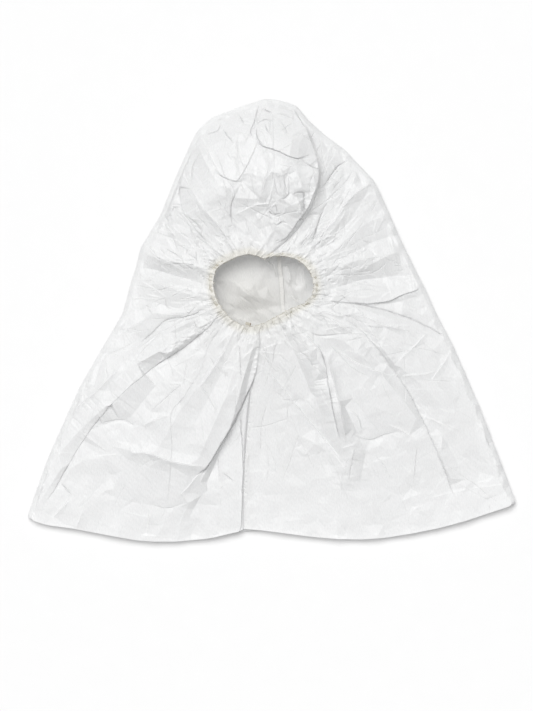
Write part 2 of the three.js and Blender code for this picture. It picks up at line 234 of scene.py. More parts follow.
# Sharp creases: height (below nought for a furrow), reach to each side, and the line
Crease = namedtuple("Crease", "height reach line")
LEFT_CREASES = [Crease(*row) for row in (
    # Top of the crown
    (-1.0, 1.2, ((-14, 252), (-18, 232), (-21, 223), (-24, 217), (-22, 209), (-19, 203))),
    (-1.1, 1.2, ((-11, 243), (-4, 239), (2, 236))),
    (-0.5, 1.0, ((2, 236), (12, 236), (22, 232), (30, 229))),
    (-0.5, 1.0, ((2, 252), (2, 241))),
    (0.8, 2.0, ((4, 241), (14, 242), (28, 238))),
    (-0.8, 1.1, ((20, 247), (27, 242), (34, 236))),
    (-0.8, 1.1, ((-21, 222), (-14, 226), (-8, 229), (0, 228), (4, 231))),
    (-0.8, 1.1, ((-9, 227), (-6, 218), (-1, 211))),
    (0.8, 1.4, ((-14, 222), (-8, 210))),
    (-1.0, 1.2, ((-17, 222), (-17, 212), (-13, 205), (-5, 200))),
    (-0.5, 1.0, ((10, 230), (16, 218), (20, 210))),
    (-0.5, 1.0, ((8, 214), (14, 218), (26, 228))),
    (-0.5, 1.0, ((27, 216), (40, 204), (46, 196))),
    (-0.9, 1.1, ((31, 186), (40, 178), (50, 171), (55, 167))),
    # Left of the crown
    (-0.8, 1.1, ((-57, 222), (-52, 213), (-46, 205), (-42, 200))),
    (-0.8, 1.1, ((-37, 236), (-33, 228), (-31, 224))),
    (-0.7, 1.1, ((-80, 211), (-72, 213), (-62, 217), (-57, 228))),
    (-0.7, 1.2, ((-80, 200), (-84, 188), (-90, 176), (-92, 162), (-94, 150))),
    (1.2, 2.4, ((-79, 203), (-70, 186), (-60, 168))),
    (0.9, 1.3, ((-90, 147), (-82, 133), (-72, 120), (-60, 108), (-50, 93))),
    (-0.4, 1.3, ((-104, 165), (-106, 150), (-104, 135), (-101, 122), (-92, 110), (-80, 95), (-70, 85))),
    (-0.8, 1.2, ((-126, 124), (-121, 118), (-116, 108))),
    (1.2, 3.0, ((-122, 110), (-108, 95))),
    (-0.8, 1.2, ((-100, 120), (-88, 112), (-78, 99))),
    # Crumpled front of the crown
    (1.3, 2.4, ((-52, 161), (-43, 149), (-44, 138))),
    (-1.0, 1.1, ((-43, 152), (-42, 143), (-46, 132), (-46, 118), (-44, 104))),
    (0.9, 1.2, ((-45, 120), (-30, 126), (-15, 132), (5, 133))),
    (1.0, 1.6, ((-2, 190), (-4, 172), (-8, 158), (-15, 132))),
    (-0.5, 1.1, ((1, 170), (2, 166), (1, 158))),
    (-0.6, 1.1, ((3, 165), (4, 155), (7, 143), (12, 140))),
    (-0.4, 1.1, ((8, 165), (10, 150), (11, 142))),
    (-0.5, 1.2, ((14, 170), (16, 155), (18, 145))),
    (1.0, 1.3, ((20, 170), (18, 160), (19, 148))),
    (0.9, 1.3, ((26, 178), (31, 162), (36, 147))),
    (-1.5, 1.3, ((22, 140), (27, 144), (32, 146), (36, 145), (35, 135), (34, 128), (37, 122), (38, 117))),
    (1.2, 1.6, ((28, 138), (31, 130), (28, 121))),
    (-1.0, 1.1, ((10, 138), (14, 138), (18, 141), (22, 146))),
    (-1.0, 1.1, ((-6, 128), (-2, 123), (3, 120), (8, 121), (14, 122))),
    (-0.8, 1.1, ((4, 133), (6, 126), (5, 121))),
    (-0.9, 1.1, ((0, 112), (6, 108), (12, 112), (18, 111))),
    (-1.4, 1.3, ((24, 114), (30, 116), (36, 115), (42, 119))),
    # Cheek and shoulder
    (-0.4, 1.5, ((-121, 27), (-120, 15), (-112, 11))),
    (0.8, 1.8, ((-180, -20), (-150, -2), (-136, 8))),
    (-0.8, 1.8, ((-155, -30), (-135, -13), (-120, 0), (-100, 3), (-85, 8), (-70, 18))),
    (1.2, 1.8, ((-160, -38), (-130, -16), (-100, 0), (-80, 8), (-66, 18))),
    (1.4, 2.7, ((-237, -113), (-220, -98), (-195, -75), (-170, -50))),
    (-0.3, 2.2, ((-54, -5), (-72, -30), (-80, -55), (-100, -88), (-115, -108), (-114, -140), (-119, -213))),
    (1.4, 4.5, ((-42, -8), (-60, -45), (-85, -80))),
    (-0.6, 2.2, ((-42, -8), (-37, -25), (-36, -50), (-34, -75))),
    # Cape
    (0.9, 2.7, ((-80, -172), (-95, -190), (-108, -203))),
    (0.9, 1.8, ((-62, -145), (-61, -165), (-60, -188))),
    (-0.4, 1.5, ((-58, -174), (-50, -180), (-42, -187))),
    (-0.6, 1.8, ((-43, -118), (-32, -135))),
    (-0.4, 2.2, ((-200, -122), (-185, -116), (-170, -115), (-155, -123))),
    (0.8, 2.2, ((-150, -121), (-130, -113), (-115, -108))),
    (1.3, 5.4, ((-163, -140), (-161, -151), (-145, -152), (-118, -161), (-95, -166), (-80, -165))),
    (1.0, 1.8, ((-229, -202), (-240, -215), (-252, -228))),
    (-0.6, 1.8, ((-243, -185), (-229, -202))),
    (-0.3, 2.2, ((-140, -212), (-118, -216), (-100, -210))),
    (0.6, 2.7, ((-225, -240), (-215, -215))),
    (0.6, 2.7, ((-143, -250), (-140, -215))),
)]
RIGHT_CREASES = [Crease(*row) for row in (
    # Beside the crown
    (1.6, 2.7, ((50, 90), (75, 118), (90, 140), (118, 160))),
    (-1.4, 1.8, ((45, 82), (50, 100), (55, 115), (62, 132))),
    (-1.2, 2.2, ((58, 150), (75, 175), (90, 185))),
    (0.8, 1.5, ((127, 48), (150, 47), (167, 53))),
    # Cheek and shoulder
    (-0.7, 1.8, ((50, 20), (80, 20), (110, 16), (140, 8), (180, -8), (209, -27))),
    (1.2, 1.8, ((40, 8), (60, 10), (75, 5), (90, 7), (110, 2), (130, -6), (160, -12))),
    (0.9, 1.8, ((140, -52), (160, -33), (180, -13))),
    (0.8, 1.5, ((184, -8), (187, 5), (178, 20))),
    (-0.6, 3.0, ((85, 3), (110, -20), (140, -58), (160, -88), (185, -140), (212, -208))),
    (1.2, 4.5, ((72, -31), (90, -45), (110, -55), (130, -62), (145, -64))),
    (0.7, 1.5, ((145, -64), (175, -62), (192, -57))),
    (0.8, 1.8, ((208, -30), (200, -45), (190, -60), (180, -72))),
    (2.7, 2.7, ((72, -31), (66, -45), (72, -75), (78, -100), (85, -138))),
    (-1.1, 1.8, ((52, -25), (60, -45), (64, -65), (68, -90), (74, -120), (80, -143))),
    (-0.7, 1.8, ((28, -35), (40, -42), (50, -55), (60, -60))),
    (1.4, 2.2, ((35, -12), (50, -28), (65, -45))),
    (-0.7, 1.5, ((40, -12), (55, -18), (85, -15))),
    (1.0, 1.5, ((50, -17), (62, -21), (80, -18))),
    (0.9, 1.8, ((65, 2), (85, -10), (95, -15))),
    # Cape
    (1.2, 3.6, ((-5, -55), (10, -75), (30, -100), (55, -130), (80, -160))),
    (0.8, 1.5, ((78, -148), (97, -142))),
    (-0.5, 1.8, ((98, -142), (93, -160), (88, -190))),
    (0.8, 1.8, ((96, -143), (82, -175), (80, -200))),
    (-0.5, 1.8, ((90, -128), (100, -135), (115, -137), (130, -132), (145, -128))),
    (0.9, 1.8, ((85, -100), (98, -110), (105, -130))),
    (0.7, 1.8, ((132, -118), (150, -127), (165, -136))),
    (-0.4, 1.8, ((168, -140), (165, -170), (163, -192))),
    (-0.3, 1.5, ((250, -212), (252, -222))),
)]

# The sheet lies in flat facets between these lines: height of each line over the smooth form
FacetLine = namedtuple("FacetLine", "height line")
FACET_LINES = [FacetLine(*row) for row in (
    # Crown
    (-2.4, ((-78, 202), (-60, 168), (-50, 162), (-40, 158))),
    (2.4, ((-52, 152), (-45, 146), (-43, 136))),
    (0.3, ((-85, 200), (-68, 166), (-47, 138))),
    (0.8, ((-8, 193), (-21, 177), (-33, 157))),
    (2.4, ((-14, 194), (4, 188), (18, 181), (28, 178))),
    (2.2, ((28, 170), (32, 158), (37, 145))),
    (1.8, ((43, 178), (46, 162), (45, 146), (39, 132), (30, 118))),
    (2.4, ((-3, 173), (-9, 152), (-14, 131))),
    (-2.7, ((4, 168), (8, 148), (6, 132))),
    (2.4, ((11, 170), (14, 152), (12, 140))),
    (-3.0, ((18, 168), (21, 152), (20, 142))),
    (2.4, ((25, 160), (27, 152), (24, 142))),
    (-3.0, ((35, 138), (34, 128), (37, 117))),
    (3.2, ((18, 130), (24, 134), (30, 131), (28, 121))),
    (-2.4, ((-6, 128), (2, 121), (10, 118), (18, 120))),
    (2.2, ((-2, 112), (8, 106), (18, 106))),
    (1.9, ((-30, 236), (-42, 214), (-34, 196))),
    (-1.8, ((-52, 226), (-58, 208), (-48, 188))),
    (-2.4, ((-14, 250), (-20, 225), (-22, 212))),
    (2.2, ((-8, 236), (-4, 222), (0, 205))),
    (-1.9, ((8, 234), (14, 218), (22, 205))),
    (1.6, ((20, 236), (28, 222), (34, 210))),
    (2.2, ((-92, 150), (-80, 130), (-62, 108), (-50, 92))),
    (-0.4, ((-106, 160), (-104, 130), (-97, 115), (-80, 95), (-65, 80))),
    (4.5, ((-92, 192), (-101, 168), (-108, 142), (-118, 116))),
    (1.2, ((-112, 128), (-112, 104), (-95, 86), (-72, 70))),
    (-1.1, ((-124, 116), (-118, 96), (-104, 76))),
    (-1.2, ((-47, 132), (-46, 112), (-40, 88))),
    # Right of the crown
    (-1.9, ((47, 86), (53, 108), (64, 134), (78, 158))),
    (2.0, ((50, 90), (75, 118), (90, 140), (116, 159))),
    (-1.5, ((62, 156), (77, 176), (88, 184))),
    (1.5, ((52, 62), (80, 86), (105, 108), (136, 122))),
    (-1.8, ((60, 56), (90, 74), (118, 90), (146, 98))),
    (1.4, ((72, 176), (82, 168), (104, 160))),
    # Right side
    (1.9, ((62, 44), (85, 51), (110, 62), (135, 74), (152, 81))),
    (-2.3, ((56, 33), (75, 37), (100, 45), (130, 49), (166, 52))),
    (1.5, ((60, 23), (100, 20), (130, 23), (150, 31), (172, 37))),
    (-1.5, ((120, 17), (150, 22), (176, 30))),
    (-1.5, ((60, 18), (95, 18), (130, 11), (165, -1), (200, -20))),
    (1.4, ((62, 9), (90, 7), (115, 1), (150, -10))),
    (2.0, ((92, 6), (103, -1), (118, -19), (131, -38), (142, -54))),
    (-2.3, ((84, 3), (95, -6), (110, -22), (125, -40), (140, -60), (152, -75))),
    (-1.9, ((72, -31), (90, -45), (110, -55), (130, -62), (145, -64))),
    (1.9, ((60, -6), (82, -16), (100, -26), (116, -42))),
    (1.8, ((70, -34), (67, -46), (73, -75), (79, -100), (85, -136))),
    (-0.5, ((58, -34), (62, -58), (67, -88), (74, -120), (80, -145))),
    (1.5, ((40, -22), (46, -52), (50, -84), (58, -112))),
    (-1.8, ((0, -60), (10, -75), (30, -100), (55, -130), (80, -160))),
    (1.8, ((100, -70), (112, -95), (120, -118))),
    (-1.5, ((92, -126), (115, -138), (145, -128), (166, -138))),
    (-1.9, ((158, -84), (170, -108), (185, -140), (200, -180), (210, -204))),
    (2.0, ((198, -104), (196, -130), (196, -160), (206, -182))),
    (1.5, ((184, -66), (196, -80), (212, -96))),
    (1.4, ((98, -144), (90, -165), (84, -196))),
    (-1.5, ((-26, -150), (-23, -185), (-19, -215))),
    (0.9, ((-12, -165), (-6, -200), (-4, -230))),
    (-1.4, ((108, -150), (104, -176), (96, -206))),
    (1.1, ((140, -150), (160, -172), (166, -196))),
    # Left side
    (2.0, ((-148, 79), (-120, 68), (-95, 63), (-70, 56))),
    (-2.3, ((-154, 60), (-140, 59), (-125, 55), (-105, 49), (-74, 41))),
    (1.8, ((-148, 49), (-120, 38), (-100, 31), (-76, 26))),
    (-1.1, ((-140, 22), (-120, 16), (-98, 12))),
    (1.4, ((-178, -20), (-150, -3), (-136, 7), (-110, 6), (-84, 12))),
    (-1.5, ((-160, -34), (-135, -15), (-118, -3), (-95, 0), (-72, 10))),
    (2.3, ((-238, -116), (-220, -98), (-195, -74), (-168, -48), (-140, -30), (-112, -12), (-84, 2))),
    (-2.7, (
        (-252, -198), (-236, -170), (-214, -134), (-180, -92),
        (-155, -67), (-134, -52), (-100, -30), (-66, -2),
    )),
    (-1.5, ((-54, -6), (-62, -18), (-73, -32), (-81, -56), (-100, -88), (-115, -108))),
    (2.0, ((-47, -9), (-60, -28), (-68, -48), (-86, -78), (-104, -103))),
    (-1.1, ((-38, -12), (-38, -30), (-42, -56), (-52, -88))),
    (1.4, ((-118, -60), (-128, -84), (-124, -104))),
    (-1.4, ((-196, -121), (-170, -115), (-155, -123))),
    (1.1, ((-150, -121), (-130, -113), (-117, -108))),
    (2.0, ((-164, -140), (-160, -151), (-145, -152), (-118, -161), (-95, -166), (-82, -166))),
    (-0.6, ((-196, -196), (-165, -208), (-140, -212), (-118, -216), (-100, -211))),
    (1.1, ((-222, -236), (-214, -214), (-206, -190))),
    (-1.1, ((-143, -248), (-140, -232))),
    (1.5, ((-66, -190), (-88, -206), (-104, -214))),
)]

# Folds that lap over: the sheet on the left of the line rolls over the sheet on its right.
# Rise of the roll, drop of the sheet under it, reach of both, and how far it laps
Lap = namedtuple("Lap", "rise drop reach lap line")
LEFT_LAPS = [Lap(*row) for row in (
    (0.9, 4.0, 11, 3.0, ((-19, 213), (-16, 206), (-12, 201), (5, 195), (20, 188), (30, 186), (46, 188))),
    (1.2, -0.8, 10, 3.6, ((-42, 154), (-35, 167), (-24, 189), (-19, 200), (-17, 210))),
    (0.6, 1.3, 8, 2.6, ((-66, 174), (-60, 168), (-52, 163), (-45, 160), (-32, 156))),
    (0.6, 1.4, 9, 4.5, (
        (2, 84), (14, 95), (26, 111), (37, 126), (45, 142), (50, 156), (52, 168), (50, 182), (45, 198),
        (38, 216), (32, 232),
    )),
    (0.3, 0.35, 12, 2.5, ((-260, -212), (-215, -135), (-180, -92), (-135, -53), (-100, -30), (-60, 3))),
    (1.2, 3.6, 14, 5.5, (
        (-86, -181), (-62, -142), (-48, -117), (-32, -85), (-20, -55), (-14, -20), (-13, -8),
    )),
    (1.0, 1.2, 8, 4.0, ((-37, -250), (-36, -200), (-35, -165), (-37, -130), (-38, -105))),
)]
RIGHT_LAPS = [Lap(*row) for row in (
    (0.7, 1.0, 9, 3.0, ((94, 19), (130, 22), (150, 30), (178, 39))),
)]

# Creases of the back half that show through the face opening
BACK_CREASES = [Crease(*row) for row in (
    (2.6, 4, ((-14, 74), (-4, 66), (6, 58))),
    (2.0, 3, ((-2, 72), (3, 60), (4, 48))),
    (-2.0, 3, ((9, 37), (23, 28), (37, 20))),
    (2.4, 2, ((12, 34), (25, 25), (39, 16))),
    (-3.0, 9, ((-62, 22), (-40, 14), (-8, 4))),
    (2.4, 6, ((-58, 8), (-40, 2), (-14, -4))),
    (5.0, 4, ((14, 66), (21, 52), (18, 36))),
    (-4.0, 4, ((25, 70), (30, 52), (27, 34))),
    (5.0, 4, ((38, 66), (36, 50), (41, 30))),
    (-3.0, 3, ((10, 62), (24, 65), (36, 60))),
    (0.6, 2, ((-60, 52), (-40, 42), (-18, 26))),
    (-0.6, 2, ((-56, 36), (-34, 26), (-12, 14))),
)]


def smooth_through(stations, values, at):
    """A smooth curve through values, along their last axis, at rising stations."""
    stations, values, at = np.asarray(stations, float), np.asarray(values, float), np.asarray(at, float)
    slopes = np.empty_like(values)
    slopes[..., 1:-1] = (values[..., 2:] - values[..., :-2]) / (stations[2:] - stations[:-2])
    slopes[..., 0] = (values[..., 1] - values[..., 0]) / (stations[1] - stations[0])
    slopes[..., -1] = (values[..., -1] - values[..., -2]) / (stations[-1] - stations[-2])
    i = np.clip(np.searchsorted(stations, at, side="right") - 1, 0, len(stations) - 2)
    span = stations[i + 1] - stations[i]
    t = (at - stations[i]) / span
    rise = (values[..., i + 1] - values[..., i]) * (3 - 2 * t) * t * t
    ends = slopes[..., i] * t * (1 - t) ** 2 + slopes[..., i + 1] * t * t * (t - 1)
    return values[..., i] + rise + ends * span


def band_inner_radius(deg):
    """Radius of the elastic's inner edge in any direction."""
    degrees = np.concatenate([FACE_EDGE[-2:, 0] - 360, FACE_EDGE[:, 0], FACE_EDGE[:2, 0] + 360])
    radii = np.concatenate([FACE_EDGE[-2:, 1], FACE_EDGE[:, 1], FACE_EDGE[:2, 1]])
    return smooth_through(degrees, radii, np.mod(deg, 360))


def face_point(deg, outside):
    """Plan point round the face opening, a distance outside the elastic's inner edge."""
    radius = band_inner_radius(deg) + outside
    turn = np.radians(deg)
    return np.stack([FACE_X + radius * np.cos(turn), FACE_Y + radius * np.sin(turn)], -1)


def face_height(deg):
    return FACE_HEIGHT + FACE_TILT * np.sin(np.radians(deg))


def unit(vectors):
    return vectors / np.maximum(np.linalg.norm(vectors, axis=-1, keepdims=True), 1e-9)


def ease(t):
    t = np.clip(t, 0, 1)
    return t * t * (3 - 2 * t)


def mound(plan, middle, reach):
    """One at a middle, falling to nought round it."""
    off_middle = (plan - middle) / reach
    return np.exp(-(off_middle ** 2).sum(axis=-1))


def travelled_along(path):
    return np.concatenate([[0], np.cumsum(np.linalg.norm(np.diff(path, axis=0), axis=1))])


def points_along(path, at):
    """Points at distances along a path."""
    lengths = travelled_along(path)
    return np.column_stack([np.interp(at, lengths, path[:, axis]) for axis in range(path.shape[1])])


def left_of(path):
    """Directions to the left along a plan path."""
    ahead = np.gradient(path, axis=0)
    return unit(np.column_stack([-ahead[:, 1], ahead[:, 0]]))


CREASE_STEP = 3
CREASE_WANDER = 0.35
WANDER_SHARES, WANDER_LENGTHS = (0.7, 0.3), (5.1, 2.1)


def crease_path(line, chance):
    """A smooth path through a crease's points, which strays a little as a crease does."""
    line = np.asarray(line, float)
    lengths = travelled_along(line)
    along = np.linspace(0, lengths[-1], max(3, int(lengths[-1] / CREASE_STEP) + 1))
    path = smooth_through(lengths, line.T, along).T
    phases = chance.uniform(0, 2 * np.pi, len(WANDER_SHARES))
    waves = zip(WANDER_SHARES, WANDER_LENGTHS, phases)
    stray = CREASE_WANDER * sum(share * np.sin(along / length + phase) for share, length, phase in waves)
    return path + left_of(path) * stray[:, None]


def with_paths(rows, seed):
    """Creases or laps with their few points turned into paths."""
    chance = np.random.default_rng(seed)
    return [row._replace(line=crease_path(row.line, chance)) for row in rows]


def near_path(plan, path, reach):
    """The plan points within reach of the box round a path."""
    inside = (plan > path.min(axis=0) - reach) & (plan < path.max(axis=0) + reach)
    return np.flatnonzero(inside.all(axis=1))


FARTHEST = 1e9


def path_distance(plan, path):
    """Distance of plan points to the left of a path, how far along it they lie from its nearer end,
    its length and the direction to the left there."""
    start = travelled_along(path)
    best = np.full(len(plan), FARTHEST)
    side = np.ones(len(plan))
    passed = np.zeros(len(plan))
    left = np.zeros((len(plan), 2))
    for a, b, length, before in zip(path, path[1:], np.diff(start), start):
        direction = (b - a) / length
        normal = np.array([-direction[1], direction[0]])
        t = np.clip((plan - a) @ direction, 0, length)
        away = plan - a - t[:, None] * direction
        distance = np.linalg.norm(away, axis=1)
        nearer = distance < best
        best[nearer] = distance[nearer]
        side[nearer] = np.where(away[nearer] @ normal < 0, -1, 1)
        passed[nearer] = before + t[nearer]
        left[nearer] = normal
    return side * best, np.minimum(passed, start[-1] - passed), start[-1], left


FADE_LONGEST, FADE_SHARE = 18, 0.35


def end_fade(to_end, length):
    """Nought at the ends of a crease, rising to one over a short way."""
    return ease(to_end / min(FADE_LONGEST, FADE_SHARE * length))


CREASE_HALF_WIDTH = 0.65
PRESSED_SHARE, PRESSED_LEAST, PRESSED_MOST = 1.7, 0.1, 2.0
PRESSED_REACH = 5
REACHES_FELT = 5


def crease_lift(plan, creases):
    """Lift of the sheet at creases. A furrow has a narrow groove along it, and a ridge a narrow step that
    faces the window, with one side of the sheet pressed down under the other."""
    lift = np.zeros(len(plan))
    for crease in creases:
        near = near_path(plan, crease.line, REACHES_FELT * max(crease.reach, PRESSED_REACH))
        distance, to_end, length, _ = path_distance(plan[near], crease.line)
        depth = np.clip(PRESSED_SHARE * abs(crease.height), PRESSED_LEAST, PRESSED_MOST)
        if crease.height < 0:
            pressed = -depth * np.maximum(0, 1 - np.abs(distance) / CREASE_HALF_WIDTH)
        else:
            ahead = crease.line[-1] - crease.line[0]
            window_side = np.sign(ahead[0] * WINDOW_FROM[1] - ahead[1] * WINDOW_FROM[0])
            beside = np.maximum(np.abs(distance) - CREASE_HALF_WIDTH, 0)
            step = np.clip(distance / CREASE_HALF_WIDTH, -1, 1) * np.exp(-beside / PRESSED_REACH)
            pressed = -window_side * depth / 2 * step
        bent = crease.height * np.exp(-np.abs(distance) / crease.reach)
        lift[near] += (bent + pressed) * end_fade(to_end, length)
    return lift


ROLL = 2.4
GROOVE_SHARE, GROOVE_DEEPEST, GROOVE_HALF_WIDTH = 0.8, 1.9, 0.9


def groove_place(lap):
    """Distance right of a lap's line of the groove under the edge of its roll."""
    return lap.lap - ROLL + GROOVE_HALF_WIDTH


def lap_moves(plan, laps):
    """Lift, and sideways move, of the sheet where folds roll over their neighbours."""
    lift = np.zeros(len(plan))
    aside = np.zeros((len(plan), 2))
    for lap in laps:
        near = near_path(plan, lap.line, REACHES_FELT * lap.reach)
        distance, to_end, length, left = path_distance(plan[near], lap.line)
        fade = end_fade(to_end, length)
        outer = np.maximum(distance, 0)
        over = ease(outer / ROLL)
        upper = lap.rise * np.exp(-outer / lap.reach) * over - lap.drop * (1 - over)
        under = -lap.drop * np.exp(np.minimum(distance, 0) / lap.reach)
        groove = min(GROOVE_SHARE * (lap.rise + abs(lap.drop)), GROOVE_DEEPEST)
        under -= groove * np.maximum(0, 1 - np.abs(distance + groove_place(lap)) / GROOVE_HALF_WIDTH)
        lift[near] += np.where(distance > 0, upper, under) * fade
        push = lap.lap * outer / ROLL * np.exp(1 - outer / ROLL)
        aside[near] -= left * (push * fade)[:, None]
    return lift, aside


Facets = namedtuple("Facets", "points faces")
FACET_JOIN = 1e-4


def joined_flat(corners, heights):
    """Flat triangles between corners at their heights."""
    spots, _, faces, kept, *_ = delaunay_2d_cdt([Vector(corner) for corner in corners], [], [], 0, FACET_JOIN)
    points = [(*spot, heights[from_corners[0]]) for spot, from_corners in zip(spots, kept)]
    return Facets(np.array(points), np.array(faces))


DOWN = Vector((0, 0, -1))
LOOK_FROM = 200
SLIP = Vector((0.003, -0.0021, 0))


def height_on(facets, plan):
    """Heights of facets over plan points. A ray that slips between two facets is moved over a little."""
    terrain = BVHTree.FromPolygons(facets.points.tolist(), facets.faces.tolist(), all_triangles=True)
    heights = []
    for x, y in plan.tolist():
        eye = Vector((x, y, LOOK_FROM))
        met = None
        while met is None:
            eye += SLIP
            met = terrain.ray_cast(eye, DOWN)[0]
        heights.append(met.z)
    return np.array(heights)


def facet_edges(facets, step):
    """Plan points along the edges of facets."""
    sides = np.concatenate([facets.faces[:, [i, (i + 1) % 3]] for i in range(3)])
    sides = np.unique(np.sort(sides, axis=1), axis=0)
    start, end = facets.points[sides[:, 0], :2], facets.points[sides[:, 1], :2]
    counts = np.ceil(np.linalg.norm(end - start, axis=1) / step).astype(int)
    side = np.repeat(np.arange(len(sides)), counts)
    part = (np.arange(counts.sum()) - np.repeat(np.cumsum(counts) - counts, counts)) / counts[side]
    return start[side] + (end - start)[side] * part[:, None]


FIELD_X, FIELD_Y = 330, 300
CORNER_STRAY = 0.45


def chance_corners(cell, chance):
    """Corners of a crumpled sheet, about a cell apart, over a field larger than the hood."""
    across, up = np.meshgrid(np.arange(-FIELD_X, FIELD_X, cell), np.arange(-FIELD_Y, FIELD_Y, cell))
    strays = chance.uniform(-CORNER_STRAY, CORNER_STRAY, (across.size, 2)) * cell
    return np.column_stack([across.ravel(), up.ravel()]) + strays


def crumpled(cell, height, seed):
    """Facets of a crumpled sheet: chance heights, joined by flat triangles about a cell across."""
    chance = np.random.default_rng(seed)
    corners = chance_corners(cell, chance)
    return joined_flat(corners, chance.normal(0, height, len(corners)))


def plan_tree(plan):
    """A finder of the nearest of some plan points."""
    tree = KDTree(len(plan))
    for i, (x, y) in enumerate(plan.tolist()):
        tree.insert((x, y, 0), i)
    tree.balance()
    return tree


FACET_CELL = 24
FACET_CHANCE = 1.6
FOLD_CLEAR, CORNER_CLEAR = 5, 0.45 * FACET_CELL
CAPE_CALM = 0.5
CROWN_FROM, CROWN_RIGHT = 112, 62


def form_facets(plan, heights, fold_corners, lines, seed):
    """Flat facets of a panel, with its smooth form kept at folds, lines and chance corners."""
    chance = np.random.default_rng(seed)
    form = plan_tree(plan)
    corners, lifts = [], []
    for row in lines:
        lengths = travelled_along(row.line)
        to_end = np.minimum(lengths, lengths[-1] - lengths)
        corners.append(row.line)
        lifts.append(row.height * end_fade(to_end + CREASE_STEP, lengths[-1]))
    for spread, clear, uneven in (
        (fold_corners, FOLD_CLEAR, 0),
        (chance_corners(FACET_CELL, chance), CORNER_CLEAR, FACET_CHANCE),
    ):
        drawn = np.concatenate(corners)
        free = np.array([np.linalg.norm(drawn - corner, axis=1).min() > clear for corner in spread])
        calm = np.where(spread[free, 1] > CROWN_FROM, 1, CAPE_CALM)
        corners.append(spread[free])
        lifts.append(chance.normal(0, uneven, free.sum()) * calm)
    corners = np.concatenate(corners)
    nearest = [form.find((x, y, 0))[1] for x, y in corners.tolist()]
    return joined_flat(corners, heights[nearest] + np.concatenate(lifts))


CROWN_MIDDLE, CROWN_CRUMPLED = (18, 134), (34, 36)
CAPE_CRUMPLING, CAPE_UP_TO, CHEEK_FROM = 0.5, -130, 60
crumples = crumpled(cell=10, height=0.46, seed=21)


def crumple_lift(plan):
    """Crumpling of the whole sheet: strongest mid-crown, less at the cheeks and least in the cape."""
    up_the_cape = ease((plan[:, 1] - CAPE_UP_TO) / (CHEEK_FROM - CAPE_UP_TO))
    share = CAPE_CRUMPLING + (1 - CAPE_CRUMPLING) * up_the_cape + mound(plan, CROWN_MIDDLE, CROWN_CRUMPLED)
    return height_on(crumples, plan) * share


CRINKLES = 700
CRINKLE_CROWDING = 25
CROWN_CRINKLING, CROWN_OUTER_SHARE = 0.011, 0.35
POINTING_SHARE, POINTING_STRAY, FREE_STRAY = 0.7, 0.3, 1.5
SHORTEST_HALF, LONGER_BY, LENGTHENING = 3, 19, 130
CRINKLE_BEND = 0.07
CRINKLE_HEIGHTS, CRINKLE_REACHES = (0.2, 0.65), (0.7, 1.4)
CRINKLE_LEAST, CRINKLE_FADE = 0.22, 90


def crinkles(plan, outside, seed):
    """Short sharp chance creases, most near the face opening and pointing to it, others on the crown."""
    chance = np.random.default_rng(seed)
    on_crown = CROWN_OUTER_SHARE * (plan[:, 1] > CROWN_FROM)
    on_crown = on_crown + (1 - CROWN_OUTER_SHARE) * mound(plan, CROWN_MIDDLE, CROWN_CRUMPLED)
    weight = 1 / (CRINKLE_CROWDING + outside) + CROWN_CRINKLING * on_crown
    picked = chance.choice(len(plan), CRINKLES, p=weight / weight.sum())
    spots, outside, on_crown = plan[picked], outside[picked], on_crown[picked]
    points_to_face = chance.random(CRINKLES) < POINTING_SHARE
    little = chance.normal(0, POINTING_STRAY, CRINKLES)
    much = chance.uniform(-FREE_STRAY, FREE_STRAY, CRINKLES)
    turn = np.arctan2(spots[:, 1] - FACE_Y, spots[:, 0] - FACE_X) + np.where(points_to_face, little, much)
    half = (SHORTEST_HALF + LONGER_BY * chance.random(CRINKLES) ** 2) * (1 + outside / LENGTHENING)
    steps = np.column_stack([np.cos(turn), np.sin(turn)]) * half[:, None]
    bends = np.column_stack([-steps[:, 1], steps[:, 0]]) * chance.normal(0, CRINKLE_BEND, (CRINKLES, 1))
    heights = chance.choice((-1, 1), CRINKLES) * chance.uniform(*CRINKLE_HEIGHTS, CRINKLES)
    heights *= CRINKLE_LEAST + (1 - CRINKLE_LEAST) * np.maximum(on_crown, np.exp(-outside / CRINKLE_FADE))
    reaches = chance.uniform(*CRINKLE_REACHES, CRINKLES)
    return [
        Crease(height, reach, (spot - step, spot + bend, spot + step))
        for height, reach, spot, step, bend in zip(heights, reaches, spots, steps, bends)
    ]


# The gathers round the elastic: where each one leaves it, its height, its reach outwards and its half width
Gather = namedtuple("Gather", "deg height reach width")
GATHERS_FROM, GATHERS_TURN = 88, 356
GATHER_WIDENING = 0.09
GATHER_SINK, GATHER_SINK_REACH = 0.6, 12
gather_chance = np.random.default_rng(11)


def gathers_round(heights, reaches, widths, pitches):
    """Gathers all round the face opening, each with chance sizes between the two given."""
    found = []
    deg = GATHERS_FROM
    while deg < GATHERS_FROM + GATHERS_TURN:
        found.append(Gather(deg, *(gather_chance.uniform(*sizes) for sizes in (heights, reaches, widths))))
        deg += np.degrees(gather_chance.uniform(*pitches) / (band_inner_radius(deg) + BAND_WIDTH))
    return found


gathers = [
    *gathers_round(heights=(0.4, 2.2), reaches=(12, 42), widths=(1.0, 2.4), pitches=(4, 15)),
    *gathers_round(heights=(0.2, 0.9), reaches=(4, 16), widths=(0.6, 1.4), pitches=(2, 7)),
    *gathers_round(heights=(0.2, 0.8), reaches=(2, 5), widths=(0.4, 0.8), pitches=(1.1, 3)),
]


def turn_from(gather, deg):
    """Degrees from a gather, between half a turn back and half a turn on."""
    return np.mod(deg - gather.deg + 180, 360) - 180


